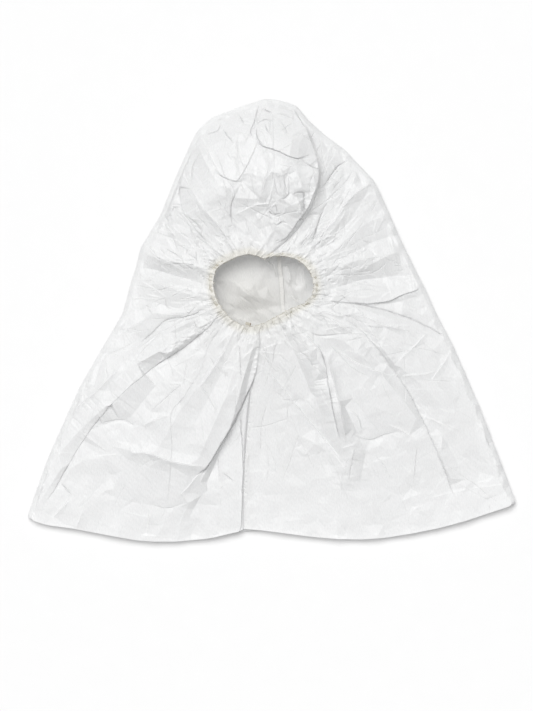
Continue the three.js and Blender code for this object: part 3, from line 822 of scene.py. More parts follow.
def gather_lift(deg, outside, mm_per_deg):
    """Lift of the sheet at its gathers, which widen and die away outwards."""
    lift = np.zeros_like(outside)
    for gather in gathers:
        width = gather.width + GATHER_WIDENING * outside
        off_gather = turn_from(gather, deg) * mm_per_deg / width
        lift += gather.height * np.exp(-off_gather ** 2 - outside / gather.reach)
    return lift - GATHER_SINK * np.exp(-outside / GATHER_SINK_REACH)


def between(values, columns):
    """Values on fold lines carried over to the columns between them."""
    low = np.minimum(columns.astype(int), len(values) - 2)
    part = (columns - low).reshape(-1, *[1] * (values.ndim - 1))
    return values[low] * (1 - part) + values[low + 1] * part


def softened(grid, passes):
    """A grid with the corners between its columns rounded, and its first and last columns kept."""
    grid = grid.copy()
    for _ in range(passes):
        grid[1:-1] += 0.5 * ((grid[:-2] + grid[2:]) / 2 - grid[1:-1])
    return grid


def back_seam_points(share):
    """Plan points of the back seam, at shares of the way from crown to hem."""
    upper = BACK_SEAM[1, 2]
    crowded = np.where(share < upper, upper * (np.clip(share, 0, upper) / upper) ** BACK_CROWDING, share)
    return np.column_stack([np.interp(crowded, BACK_SEAM[:, 2], BACK_SEAM[:, axis]) for axis in (0, 1)])


BACK_LEAST, BACK_STANDS, BACK_FLATNESS = 0.4, 3, 0.25
BACK_RISE = 7
BACK_RISE_MIDDLE, BACK_RISE_REACH = (FACE_X + 8, FACE_Y + 14), (50, 46)
back_waves = [crumpled(cell=26, height=2.2, seed=5), crumpled(cell=12, height=1.3, seed=6)]
back_creases = with_paths(BACK_CREASES, seed=9)


def back_relief(plan):
    """How far the back half stands off the table: a little everywhere, more under the face opening."""
    seen = mound(plan, BACK_RISE_MIDDLE, BACK_RISE_REACH)
    waves = sum(height_on(wave, plan) for wave in back_waves)
    uneven = np.maximum(0, BACK_STANDS + waves + crease_lift(plan, back_creases))
    return BACK_LEAST + uneven * (BACK_FLATNESS + seen) + BACK_RISE * seen


def grid_quads(first, columns, rows, stride):
    column, row = np.meshgrid(np.arange(columns - 1), np.arange(rows - 1), indexing="ij")
    corner = (first + column * stride + row).ravel()
    return np.column_stack([corner, corner + 1, corner + stride + 1, corner + stride])


def halved(quads):
    return np.concatenate([quads[:, [0, 1, 2]], quads[:, [0, 2, 3]]])


# What is known of each point of a panel's front: height of the smooth form, direction and distance
# from the face opening, width of a degree there, distance to the nearer seam, and nought on the side
# edge rising to one
Lie = namedtuple("Lie", "height deg outside mm_per_deg from_seam off_edge")


def lie_finder(plan, lie):
    """A finder of the lie of plan points from that of a grid, and of whether they are on the grid at all."""
    columns, rows, _ = plan.shape
    flat = plan.reshape(-1, 2)
    known = np.column_stack([np.ravel(values) for values in lie])
    triangles = halved(grid_quads(0, columns, rows, rows))
    level = [(x, y, 0) for x, y in flat.tolist()]
    terrain = BVHTree.FromPolygons(level, triangles.tolist(), all_triangles=True)

    def find(spots):
        hits = [terrain.ray_cast(Vector((x, y, 1)), DOWN)[2] for x, y in spots.tolist()]
        on_grid = np.array([hit is not None for hit in hits])
        a, b, c = triangles[np.array([hit or 0 for hit in hits])].T
        ab, ac, to_spot = flat[b] - flat[a], flat[c] - flat[a], spots - flat[a]
        whole = ab[:, 0] * ac[:, 1] - ab[:, 1] * ac[:, 0]
        to_b = ((to_spot[:, 0] * ac[:, 1] - to_spot[:, 1] * ac[:, 0]) / whole)[:, None]
        to_c = ((ab[:, 0] * to_spot[:, 1] - ab[:, 1] * to_spot[:, 0]) / whole)[:, None]
        values = known[a] * (1 - to_b - to_c) + known[b] * to_b + known[c] * to_c
        return on_grid, Lie(*values.T)

    return find


LINE_STEP, EDGE_STEP, RIM_STEP = 2.0, 2.2, 0.5
LINE_CELL = 0.45
FILL_PITCH, FILL_CLEAR, FILL_SEED = 2.6, 2.0, 3
GATHERED, FINELY_GATHERED, FINE_ROWS = 26, 8, 13
BORDER_CLEAR = 1.5
LAP_ROWS = (-5, -0.2, 0.3, 0.8, 1.4, 2.0, 2.8, 4)
GROOVE_ROWS = (-1, 0, 1)
CREASE_SHOULDER = 0.7
CELL_STRIDE = 100000
SPOT_JOIN = 1e-5


def rows_beside(path, offsets):
    """Plan points in rows along a path."""
    length = travelled_along(path)[-1]
    line = points_along(path, np.linspace(0, length, int(length / LINE_STEP) + 2))
    left = left_of(line)
    return np.concatenate([line + left * offset for offset in offsets])


def cells_of(points, size):
    """A number for the square cell that each plan point lies in."""
    return np.floor(points / size).astype(int) @ np.array([CELL_STRIDE, 1])


def line_points(creases, laps, facets):
    """Plan points along creases, laps and facet edges, thinned where they crowd."""
    lines = []
    for lap in laps:
        groove_rows = [-groove_place(lap) + side * GROOVE_HALF_WIDTH for side in GROOVE_ROWS]
        lines.append(rows_beside(lap.line, (*groove_rows, *LAP_ROWS)))
    for crease in creases:
        outer = CREASE_HALF_WIDTH + CREASE_SHOULDER * crease.reach
        middle = (0,) if crease.height < 0 else ()
        offsets = (-CREASE_HALF_WIDTH, *middle, CREASE_HALF_WIDTH, -outer, outer)
        lines.append(rows_beside(crease.line, offsets))
    lines += [facet_edges(facets, EDGE_STEP), facet_edges(crumples, EDGE_STEP)]
    lines = np.concatenate(lines)
    return lines[np.sort(np.unique(cells_of(lines, LINE_CELL), return_index=True)[1])]


def front_triangles(plan, lie, creases, laps, facets):
    """Points of a panel's front in plan, their lie, and the triangles between them. The points on the
    grid's border come first; the rest follow creases, laps and facet edges, and fill the flats between."""
    find = lie_finder(plan, lie)
    border = np.ones(plan.shape[:2], bool)
    border[1:-1, 1:-1] = False
    ring = np.concatenate([plan[:, 0], plan[-1], plan[::-1, -1], plan[0, ::-1]])
    rim = plan_tree(points_along(ring, np.arange(0, travelled_along(ring)[-1], RIM_STEP)))

    lines = line_points(creases, laps, facets)
    fill = chance_corners(FILL_PITCH, np.random.default_rng(FILL_SEED))
    fill = fill[~np.isin(cells_of(fill, FILL_CLEAR), cells_of(lines, FILL_CLEAR))]
    loose = np.concatenate([lines, fill])
    on_grid, loose_lie = find(loose)
    clear = np.array([rim.find((x, y, 0))[2] > BORDER_CLEAR for x, y in loose.tolist()])
    loose = loose[on_grid & clear & (loose_lie.outside > GATHERED)]

    inner = (lie.outside < GATHERED) & ~border
    inner[::2] &= lie.outside[::2] < FINELY_GATHERED
    inner[:, FINE_ROWS::2] = False
    spots = np.concatenate([plan[border], plan[inner], loose])
    found = find(loose)[1]
    spot_lie = Lie(*(np.concatenate([on[border], on[inner], off]) for on, off in zip(lie, found)))
    _, _, faces, kept, *_ = delaunay_2d_cdt([Vector(spot) for spot in spots], [], [], 0, SPOT_JOIN)
    faces = np.array([from_spots[0] for from_spots in kept])[np.array(faces)]
    on_grid, _ = find(spots[faces].mean(axis=1))
    return spots, spot_lie, faces[on_grid], border


SEAM_FADE, FACET_SEAM_FADE, FACE_FADE = 5, 3, 6
SEAM_DIP = 1.6
LOWEST = 3.5


def front_surface(spots, lie, creases, laps, facets):
    """The front of a panel over plan points: its facets with their creases, laps and gathers."""
    off_seam = ease(lie.from_seam / SEAM_FADE)
    off_face = ease(lie.outside / FACE_FADE)
    lap_lift, lap_aside = lap_moves(spots, laps)
    flats = height_on(facets, spots) - lie.height + crumple_lift(spots)
    lift = (crease_lift(spots, creases) + lap_lift) * off_seam + flats * ease(lie.from_seam / FACET_SEAM_FADE)
    lift = lift * off_face + gather_lift(lie.deg, lie.outside, lie.mm_per_deg)
    plan = spots + lap_aside * (off_seam * lie.off_edge * off_face)[:, None]
    lift -= SEAM_DIP * (1 - ease(lie.from_seam / BORDER_CLEAR)) * off_face
    return np.column_stack([plan, np.maximum(lie.height + lift * lie.off_edge, LOWEST)])


FACE_WARMTH = np.array((0.02, 0.035, 0.08))
WARM_WIDTH, WARM_FADE = 4, 8
# Painted shade in the crevices between the gathers, where the sheet lies low near the face opening
WRINKLE_SHADE, WRINKLE_BELOW = 0.1, 0.4
# Painted shade in crease furrows and painted highlight on crease ridges: their strengths and width
CREASE_SHADE, CREASE_PAINTED_HIGHLIGHT, CREASE_SHADE_WIDTH = 0.07, 0.05, 0.9
BACK_SHADE_WIDTH = 2.2
WIDTHS_SHADED = 3
# Painted shade, grey and a little warm, on the back half inside the hood under the face opening
INSIDE_PAINTED_SHADE = np.array((0.82, 0.81, 0.785))
INSIDE_SHADE_MIDDLE, INSIDE_SHADE_REACH = (-28, 18), (75, 60)


def painted_crease_light(plan, creases, width):
    """Painted light of the sheet at its creases: a painted highlight on pressed ridges and painted shade in
    furrows.
    """
    marks = np.zeros(len(plan))
    for crease in creases:
        near = near_path(plan, crease.line, WIDTHS_SHADED * width)
        distance, to_end, length, _ = path_distance(plan[near], crease.line)
        depth = np.sign(crease.height) * min(1, abs(crease.height))
        marks[near] += depth * np.exp(-(distance / width) ** 2) * end_fade(to_end, length)
    marks = np.clip(marks, -1, 1)
    return 1 + np.where(marks > 0, CREASE_PAINTED_HIGHLIGHT, CREASE_SHADE) * marks


def front_tint_and_painted_shade(spots, lie, creases):
    """Colour of a panel's front: painted shade and highlight at its creases, a cream tint near the face
    opening, and painted shade in the crevices between the gathers.
    """
    tone = painted_crease_light(spots, creases, CREASE_SHADE_WIDTH)
    by_face = 1 - ease((lie.outside - WARM_WIDTH) / WARM_FADE)
    low = np.clip(WRINKLE_BELOW - gather_lift(lie.deg, lie.outside, lie.mm_per_deg), 0, 1)
    return tone[:, None] * (1 - by_face[:, None] * (FACE_WARMTH + WRINKLE_SHADE * low[:, None]))


def back_painted_shade(plan):
    """Colour of a panel's back: painted shade, greyer and a little warmer, under the face opening, and
    painted shade and highlight at its creases.
    """
    tone = 1 - mound(plan, INSIDE_SHADE_MIDDLE, INSIDE_SHADE_REACH)[..., None] * (1 - INSIDE_PAINTED_SHADE)
    marks = painted_crease_light(plan.reshape(-1, 2), back_creases, BACK_SHADE_WIDTH)
    return tone * marks.reshape(*plan.shape[:2], 1)


ROW_CROWDING = 1.15
ROW_PLACES = np.linspace(0, 1, ROWS) ** ROW_CROWDING
FOLD_STATIONS = 45


def fold_lines(folds, sides, seam_side):
    """The main folds of a panel from the face opening out, as plan points and heights, with their directions
    and the outward directions where they meet the side edge."""
    deg = np.array([fold.deg for fold in folds], float)
    outline = np.array([(fold.x, fold.y) for fold in folds], float)
    before = outline[np.maximum(np.arange(sides) - 1, 0)]
    after = outline[np.minimum(np.arange(sides) + 1, sides - 1)]
    outward = -seam_side * unit(np.column_stack([after[:, 1] - before[:, 1], before[:, 0] - after[:, 0]]))
    outward[0] = unit(CROWN_OUTWARD)
    ends = outline.copy()
    ends[:sides] -= outward * EDGE_RADIUS
    starts = face_point(deg, BAND_WIDTH - LAPPED_OVER_BAND)
    along = ends - starts
    sideways = unit(np.column_stack([-along[:, 1], along[:, 0]]))
    bows = np.outer([fold.bow for fold in folds], 4 * ROW_PLACES * (1 - ROW_PLACES))
    plan = starts[:, None] + along[:, None] * ROW_PLACES[:, None] + sideways[:, None] * bows[..., None]
    stations = [
        (face_height(fold.deg) + LIES_OVER_BAND, fold.near, fold.mid, fold.far, fold.hem) for fold in folds
    ]
    return plan, smooth_through(HEIGHT_STATIONS, stations, ROW_PLACES), deg, outward


def corners_on_folds(plan):
    """Points along the main folds for facets to meet at. Of those on the crown, only its edge is kept."""
    corners = plan[:, np.linspace(0, ROWS - 1, FOLD_STATIONS).astype(int)]
    on_crown = (corners[..., 1] > CROWN_FROM) & (corners[..., 0] < CROWN_RIGHT)
    on_crown[:, -1] = False
    return corners[~on_crown]


FEWEST_COLUMNS, COLUMN_SPARE = 4, 3


def column_places(plan):
    """Where the columns of a panel lie among its main folds, with more of them between folds far apart."""
    apart = np.linalg.norm(np.diff(plan, axis=0), axis=-1).mean(axis=1) + COLUMN_SPARE
    counts = np.maximum(FEWEST_COLUMNS, np.round(COLUMNS * apart / apart.sum())).astype(int)
    return np.concatenate([*(i + np.arange(count) / count for i, count in enumerate(counts)), [len(counts)]])


SEAM_CLEAR = 25


def uneven_edge(edge, seed):
    """Chance rise and fall along a panel's outer edge, level at the seams."""
    along = travelled_along(edge)
    bends = np.arange(0, along[-1] + EDGE_UNEVEN_PITCH, EDGE_UNEVEN_PITCH)
    lifts = np.random.default_rng(seed).normal(0, EDGE_UNEVEN, len(bends))
    return np.interp(along, bends, lifts) * ease(np.minimum(along, along[-1] - along) / SEAM_CLEAR)


def panel_lie(plan, heights, deg, on_side):
    """The lie of each point on a panel's grid."""
    mm_per_deg = np.linalg.norm(np.gradient(plan, axis=0), axis=-1) / np.abs(np.gradient(deg))[:, None]
    to_edge = np.linalg.norm(plan - plan[:, -1:], axis=-1)
    return Lie(
        heights,
        np.repeat(deg[:, None], ROWS, axis=1),
        np.linalg.norm(plan - plan[:, :1], axis=-1),
        mm_per_deg,
        np.minimum(np.linalg.norm(plan - plan[:1], axis=-1), np.linalg.norm(plan - plan[-1:], axis=-1)),
        np.where(on_side[:, None], ease(to_edge / EDGE_FADE), 1),
    )


BACK_FADE = 14


def edge_and_back(edge, outward, columns, sides):
    """A panel's folded side edge and the back half behind it, on a grid from the front's outer points."""
    down = 1 - 2 * np.arange(1, EDGE_ROWS + 1) / EDGE_ROWS
    reach = EDGE_RADIUS * (1 - np.abs(down) ** EDGE_ROUNDNESS)
    edge_plan = edge[:, None, :2] + outward[:, None] * reach[:, None]
    edge_points = np.concatenate([edge_plan, np.outer(edge[:, 2] / 2, 1 + down)[..., None]], axis=-1)
    seam_points = back_seam_points(columns / (sides - 1))
    t = np.arange(1, BACK_ROWS + 1) / BACK_ROWS
    plan = edge[:, None, :2] * (1 - t)[:, None] + seam_points[:, None] * t[:, None]
    plan[..., 1] -= np.outer(ease(columns - (sides - 2)), BACK_HEM_BOW * 4 * t * (1 - t))
    height = back_relief(plan.reshape(-1, 2)).reshape(plan.shape[:2])
    height *= ease(np.linalg.norm(plan - edge[:, None, :2], axis=-1) / BACK_FADE)
    back = np.concatenate([plan, height[..., None]], axis=-1)
    return np.concatenate([edge_points, back], axis=1)


Sheet = namedtuple("Sheet", "front faces over_edge back seams tones")
SEAM_COLUMNS = (0, 8, -9, -1)
PLAN_SOFTENING, HEIGHT_SOFTENING = 3, 4
FACET_LINE_SEED, FACET_SEED = 7, 8


def panel_sheet(side_folds, hem_folds, creases, laps, seam_side, seed):
    """One panel: its front, with its triangles and the points over its side edge; its edge and back on a
    grid; and the front's columns at the crown seam, beside it, beside the front seam and at it."""
    sides = len(side_folds)
    plan, heights, deg, outward = fold_lines(side_folds + hem_folds, sides, seam_side)
    fold_corners = corners_on_folds(plan)
    columns = column_places(plan)
    on_side = columns <= sides - 1
    plan = softened(between(plan, columns), PLAN_SOFTENING)
    heights = softened(between(heights, columns), HEIGHT_SOFTENING)
    by_edge = ease((ROW_PLACES - EDGE_UNEVEN_FROM) / (1 - EDGE_UNEVEN_FROM))
    heights += np.outer(uneven_edge(plan[:, -1], seed + 2), by_edge)
    lie = panel_lie(plan, heights, between(deg, columns), on_side)

    flat = plan.reshape(-1, 2)
    creases = with_paths(creases + crinkles(flat, lie.outside.ravel(), seed + 3), seed + 1)
    laps = with_paths(laps, seed)
    facet_lines = with_paths(FACET_LINES, FACET_LINE_SEED)
    facets = form_facets(flat, heights.ravel(), fold_corners, facet_lines, FACET_SEED)
    spots, spot_lie, faces, border = front_triangles(plan, lie, creases, laps, facets)
    front = front_surface(spots, spot_lie, creases, laps, facets)
    seam_lie = Lie(*(values[SEAM_COLUMNS, :].ravel() for values in lie))
    seams = front_surface(plan[SEAM_COLUMNS, :].reshape(-1, 2), seam_lie, creases, laps, facets)

    numbers = np.full(border.shape, -1)
    numbers[border] = np.arange(border.sum())
    over_edge = numbers[on_side, -1]
    edge_outward = unit(between(outward, columns[on_side]))
    back = edge_and_back(front[over_edge], edge_outward, columns[on_side], sides)
    front_painted_shade_and_tint = front_tint_and_painted_shade(spots, spot_lie, creases)
    return Sheet(front, faces, over_edge, back, seams.reshape(-1, ROWS, 3), front_painted_shade_and_tint)


def point_normals(points, triangles):
    a, b, c = points[triangles.T]
    normals = np.zeros_like(points)
    for corner in triangles.T:
        np.add.at(normals, corner, np.cross(b - a, c - a))
    return unit(normals)


def with_cut_edges(points, triangles, thickness):
    """A sheet with the thickness of its raw edges turned in all round it."""
    count = len(points)
    edges = np.concatenate([triangles[:, [i, (i + 1) % 3]] for i in range(3)])
    lone = edges[~np.isin(edges[:, 0] * count + edges[:, 1], edges[:, 1] * count + edges[:, 0])]
    border, place = np.unique(lone, return_inverse=True)
    inside = (points - point_normals(points, triangles) * thickness)[border]
    under = count + place.reshape(lone.shape)
    rim = halved(np.column_stack([lone[:, ::-1], under]))
    return np.concatenate([points, inside]), np.concatenate([triangles, rim])


SHARP_DEG = 5


def make_piece(name, points, faces, finish):
    """A piece made of points in millimetres, smooth between its creases."""
    mesh = bpy.data.meshes.new(name)
    mesh.from_pydata((np.asarray(points) * MM).tolist(), [], np.asarray(faces).tolist())
    mesh.polygons.foreach_set("use_smooth", [True] * len(mesh.polygons))
    mesh.materials.append(finish)
    mesh.validate()
    mesh.set_sharp_from_angle(angle=np.radians(SHARP_DEG))
    piece = bpy.data.objects.new(name, mesh)
    bpy.context.scene.collection.objects.link(piece)
    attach(piece, "root")
    return piece


def paint(piece, name, point_tones):
    """Gives a piece a tone at each point, for its material to use."""
    layer = piece.data.color_attributes.new(name, "FLOAT_COLOR", "POINT")
    layer.data.foreach_set("color", np.ravel(point_tones))


def make_panel(name, sheet, seam_side, finish):
    """A panel's mesh, with its front and its back joined round the side edge, and its colours, which carry
    painted shade and highlight.
    """
    side_columns, back_rows, _ = sheet.back.shape
    first_back = len(sheet.front)
    under_edge = first_back + np.arange(side_columns) * back_rows
    over_edge = sheet.over_edge
    quads = np.concatenate([
        np.column_stack([over_edge[:-1], under_edge[:-1], under_edge[1:], over_edge[1:]]),
        grid_quads(first_back, side_columns, back_rows, back_rows),
    ])
    if seam_side > 0:
        quads = quads[:, ::-1]
    points = np.concatenate([sheet.front, sheet.back.reshape(-1, 3)])
    points, faces = with_cut_edges(points, np.concatenate([sheet.faces, halved(quads)]), SHEET_THICKNESS)
    panel = make_piece(name, points, faces, finish)
    back_painted_shade_tones = back_painted_shade(sheet.back[..., :2])
    back_painted_shade_tones[:, :EDGE_ROWS] = 1
    # Each point's colour: painted shade and highlight at the creases, painted shade inside the hood and
    # between the gathers, and a cream tint near the face opening
    painted_shade_and_tint_tones = np.ones((len(points), 4))
    painted_shade_and_tint_tones[:first_back, :3] = sheet.tones
    painted_shade_and_tint_tones[first_back:first_back + side_columns * back_rows, :3] = back_painted_shade_tones.reshape(-1, 3)
    paint(panel, "painted_shade_and_tint", painted_shade_and_tint_tones)
    return panel


def painted(nodes, name):
    """The tones painted on a piece."""
    layer = nodes.new("ShaderNodeVertexColor")
    layer.layer_name = name
    return layer.outputs["Color"]


def multiplied(nodes, links, first, second):
    """Two colours multiplied."""
    mix = nodes.new("ShaderNodeMix")
    mix.data_type = "RGBA"
    mix.blend_type = "MULTIPLY"
    mix.inputs["Factor"].default_value = 1
    links.new(first, mix.inputs["A"])
    links.new(second, mix.inputs["B"])
    return mix.outputs["Result"]


def relief(nodes, links, height, strength, depth):
    """A bump node for fine relief, of a depth in millimetres."""
    bump = nodes.new("ShaderNodeBump")
    bump.inputs["Strength"].default_value = strength
    bump.inputs["Distance"].default_value = depth * MM
    links.new(height, bump.inputs["Height"])
    return bump


SHEET_TONES = ((0.3, (0.84, 0.843, 0.845, 1)), (0.7, (0.91, 0.912, 0.912, 1)))
SHEET_ROUGHNESS, SHEET_SHINE, SHEET_LETS_THROUGH = 0.42, 0.45, 0.36
FIBRE_GRAIN, FIBRE_DETAIL, FIBRE_STRETCH, FIBRE_TURN = 900, 6, (1, 0.35, 1), (0, 0, 0.9)
FIBRE_BUMP, EMBOSS_BUMP, SHEET_RELIEF = 0.5, 0.12, 0.4
EMBOSS_SCALE, EMBOSS_WAVER, EMBOSS_DETAIL = 95, 2.5, 2

sheet_finish, nodes, links, shader = new_finish("white_spunbonded_sheet")
fibres = grain(nodes, links, FIBRE_GRAIN, FIBRE_DETAIL, FIBRE_STRETCH, FIBRE_TURN)
fibre_tones = tones(nodes, links, fibres, SHEET_TONES)
# The sheet's colour times the painted shade, highlight and tint on its points
sheet_colour = multiplied(nodes, links, fibre_tones, painted(nodes, "painted_shade_and_tint"))
links.new(sheet_colour, shader.inputs["Base Color"])
emboss_place = nodes.new("ShaderNodeTexCoord")
emboss = nodes.new("ShaderNodeTexWave")
emboss.wave_type = "BANDS"
emboss.bands_direction = "DIAGONAL"
emboss.inputs["Scale"].default_value = EMBOSS_SCALE
emboss.inputs["Distortion"].default_value = EMBOSS_WAVER
emboss.inputs["Detail"].default_value = EMBOSS_DETAIL
links.new(emboss_place.outputs["Object"], emboss.inputs["Vector"])
emboss_relief = relief(nodes, links, emboss.outputs["Fac"], EMBOSS_BUMP, SHEET_RELIEF)
fibre_relief = relief(nodes, links, fibres, FIBRE_BUMP, SHEET_RELIEF)
links.new(emboss_relief.outputs["Normal"], fibre_relief.inputs["Normal"])
links.new(fibre_relief.outputs["Normal"], shader.inputs["Normal"])
shader.inputs["Roughness"].default_value = SHEET_ROUGHNESS
shader.inputs["Specular IOR Level"].default_value = SHEET_SHINE
glow = nodes.new("ShaderNodeBsdfTranslucent")
links.new(sheet_colour, glow.inputs["Color"])
thin_sheet = nodes.new("ShaderNodeMixShader")
thin_sheet.inputs["Fac"].default_value = SHEET_LETS_THROUGH
links.new(shader.outputs["BSDF"], thin_sheet.inputs[1])
links.new(glow.outputs["BSDF"], thin_sheet.inputs[2])
links.new(thin_sheet.outputs["Shader"], nodes["Material Output"].inputs["Surface"])

LEFT_SEED, RIGHT_SEED = 101, 202

left_sheet = panel_sheet(LEFT_SIDE, LEFT_HEM, LEFT_CREASES, LEFT_LAPS, -1, LEFT_SEED)
left_panel = make_panel("left_side_sheet", left_sheet, -1, sheet_finish)
right_sheet = panel_sheet(RIGHT_SIDE, RIGHT_HEM, RIGHT_CREASES, RIGHT_LAPS, 1, RIGHT_SEED)
right_panel = make_panel("right_side_sheet", right_sheet, 1, sheet_finish)
for sheet, node in ((left_panel, "left_panel"), (right_panel, "right_panel")):
    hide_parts(node)


# Crown and back seam, and front seam
# The panels' raw edges, overlocked together in white thread and turned to the wearer's left inside the hood.
# One strip runs from the forehead over the crown and down the back, the other from the chin to the hem.
SEAM_WIDTH, SEAM_INSET, SEAM_THICKNESS = 4.6, 0.6, 0.8
SEAM_SIDES, SEAM_ROUNDNESS = 12, 0.6
SEAM_WAVES, SEAM_WAVE_LENGTHS = (0.35, 0.2), (7.3, 2.9)
SEAM_UNDER, SEAM_SLACK, SEAM_SLACK_REACH = 1.7, 4, 0.35
SEAM_FIRST_ROW, SEAM_LAST_ROWS = 19, 2
BACK_SEAM_STANDS, BACK_SEAM_STATIONS = 1.0, 200
STITCH_PITCH, STITCH_STEP = 3.2, 0.45
STITCH_RADIUS, STITCH_SIDES, STITCH_STANDS_OFF = 0.22, 5, 0.18
NEARLY_UPRIGHT = 0.9


def tube(path, radius, sides):
    """Points and quads of a thread that follows a path."""
    ahead = np.roll(path, -1, axis=0) - np.roll(path, 1, axis=0)
    ahead[0], ahead[-1] = path[1] - path[0], path[-1] - path[-2]
    ahead = unit(ahead)
    across_from = np.where(np.abs(ahead[:, 2:]) < NEARLY_UPRIGHT, (0.0, 0.0, 1.0), (1.0, 0.0, 0.0))
    aside = unit(np.cross(ahead, across_from))
    up = np.cross(aside, ahead)
    turns = 2 * np.pi * np.arange(sides) / sides
    ring = np.cos(turns)[None, :, None] * aside[:, None] + np.sin(turns)[None, :, None] * up[:, None]
    return skin(path[:, None] + radius * ring, False)


def skin(sections, closed):
    """Points and quads of a bar or ring over sections of equally many points."""
    count, sides, _ = sections.shape
    spans = np.arange(count if closed else count - 1)
    section, side = np.meshgrid(spans, np.arange(sides), indexing="ij")
    here, beyond = section * sides, (section + 1) % count * sides
    on = (side + 1) % sides
    quads = np.stack([here + side, here + on, beyond + on, beyond + side], -1)
    return sections.reshape(-1, 3), quads.reshape(-1, 4)


def joined(*parts):
    """Several bodies of points and faces as one."""
    offsets = np.cumsum([0] + [len(points) for points, _ in parts[:-1]])
    return (
        np.concatenate([points for points, _ in parts]),
        np.concatenate([faces + offset for (_, faces), offset in zip(parts, offsets)]),
    )


def even_path(path, step):
    """Points evenly spaced along a path, and their distances along it."""
    length = travelled_along(path)[-1]
    at = np.linspace(0, length, int(length / step) + 1)
    return points_along(path, at), at


def squared_off(wave, power):
    """A wave made squarer, by a power below one."""
    return np.sign(wave) * np.abs(wave) ** power


def seam_strip(line, aside, out):
    """An overlocked strip beside a seam line, and the thread wound round it."""
    middle = SEAM_INSET + SEAM_WIDTH / 2
    turns = 2 * np.pi * np.arange(SEAM_SIDES) / SEAM_SIDES
    across = squared_off(np.cos(turns), SEAM_ROUNDNESS) * SEAM_WIDTH / 2
    through = np.sin(turns) * SEAM_THICKNESS / 2
    travelled = travelled_along(line)
    waver = sum(reach * np.sin(travelled / length) for reach, length in zip(SEAM_WAVES, SEAM_WAVE_LENGTHS))
    core = line + aside * (middle + waver)[:, None]
    sections = core[:, None] + across[:, None] * aside[:, None] + through[:, None] * out[:, None]
    wound = 2 * np.pi * travelled / STITCH_PITCH
    thread = (
        core
        + aside * (np.cos(wound) * (SEAM_WIDTH / 2 + STITCH_STANDS_OFF))[:, None]
        + out * (np.sin(wound) * (SEAM_THICKNESS / 2 + STITCH_STANDS_OFF))[:, None]
    )
    return joined(skin(sections, False), tube(thread, STITCH_RADIUS, STITCH_SIDES))


def front_seam_line(seam, beside):
    """The inside of a seam on the front, with the direction of its turned edges and of the outside."""
    line, at = even_path(seam, STITCH_STEP)
    beside, _ = even_path(beside, STITCH_STEP)
    share, share_beside = np.linspace(0, 1, len(line)), np.linspace(0, 1, len(beside))
    beside = np.column_stack([np.interp(share, share_beside, beside[:, axis]) for axis in range(3)])
    aside = unit(beside - line)
    out = np.cross(aside, np.gradient(line, axis=0))
    out = unit(out * np.sign(out[:, 2:]))
    slack = SEAM_SLACK * np.maximum(0, 1 - at / at[-1] / SEAM_SLACK_REACH)
    return line - out * (SEAM_UNDER + slack)[:, None], aside, out


at_crown, by_crown, by_chin, at_chin = right_sheet.seams[:, SEAM_FIRST_ROW:]
crown_strip = seam_strip(*front_seam_line(at_crown[:-SEAM_LAST_ROWS], by_crown[:-SEAM_LAST_ROWS]))
back_points = back_seam_points(np.linspace(0, 1, BACK_SEAM_STATIONS))
back_height = back_relief(back_points) + BACK_SEAM_STANDS
back_line, _ = even_path(np.column_stack([back_points, back_height]), STITCH_STEP)
back_aside = np.tile((1.0, 0.0, 0.0), (len(back_line), 1))
back_out = np.tile((0.0, 0.0, 1.0), (len(back_line), 1))
back_strip = seam_strip(back_line, back_aside, back_out)
chin_strip = seam_strip(*front_seam_line(at_chin, by_chin))

# The strip is coloured grey, well below the white of its thread and sheet: painted shade for the shade it
# lies in inside the hood
SEAM_PAINTED_SHADE_TONES = ((0.3, (0.56, 0.555, 0.535, 1)), (0.7, (0.66, 0.655, 0.64, 1)))
SEAM_GRAIN, SEAM_DETAIL, SEAM_BUMP, SEAM_RELIEF, SEAM_ROUGHNESS = 1400, 4, 0.4, 0.3, 0.8
seam_finish, nodes, links, shader = new_finish("overlocked_edge_painted_shade")
seam_grain = grain(nodes, links, SEAM_GRAIN, SEAM_DETAIL)
links.new(tones(nodes, links, seam_grain, SEAM_PAINTED_SHADE_TONES), shader.inputs["Base Color"])
seam_relief = relief(nodes, links, seam_grain, SEAM_BUMP, SEAM_RELIEF)
links.new(seam_relief.outputs["Normal"], shader.inputs["Normal"])
shader.inputs["Roughness"].default_value = SEAM_ROUGHNESS

crown_back_seam = make_piece("crown_and_back_overlock", *joined(crown_strip, back_strip), seam_finish)
front_seam = make_piece("front_overlock", *chin_strip, seam_finish)
for strip, node in ((crown_back_seam, "crown_back_seam"), (front_seam, "front_seam")):
    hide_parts(node)


# Face elastic
# A flat elastic laid along the face opening, with the sheet's edge turned over it and gathered up small.
# Only its cut end shows: the edge is a soft roll of white sheet, coloured cream with painted shade, greyer
# than the sheet and darkest in the wrinkles that run out into the gathers.
BAND_HALF_HEIGHT, BAND_HALF_WIDTH, BAND_SINK = 1.3, 2.4, 1.0
BAND_STATIONS, BAND_SIDES = 1500, 14
PUCKER_HEIGHT, PUCKER_WIDTH = 0.8, 0.6
PUCKER_FULL, PUCKER_SPREAD, PUCKER_MOST = 1.5, 0.2, 1.2
RAGGED_REACH, RAGGED_RUN, RAGGED_SHADE, RAGGED_SEED = 0.9, 3, 0.25, 31

# Sideways waves of the band: their reach, their number round the opening and the turn they start at
SkewWave = namedtuple("SkewWave", "reach number turn")
SKEW_WAVES = [SkewWave(0.3, 37, 0), SkewWave(0.2, 83, 1)]


def pucker(deg):
    """Fullness of the gathers along the band: nought in the wrinkles between them."""
    full = np.zeros_like(deg)
    for gather in gathers:
        away = np.radians(turn_from(gather, deg)) * (band_inner_radius(gather.deg) + BAND_WIDTH / 2)
        full += gather.height / PUCKER_FULL * np.exp(-(away / (gather.width + PUCKER_SPREAD)) ** 2)
    return np.clip(full, 0, PUCKER_MOST)


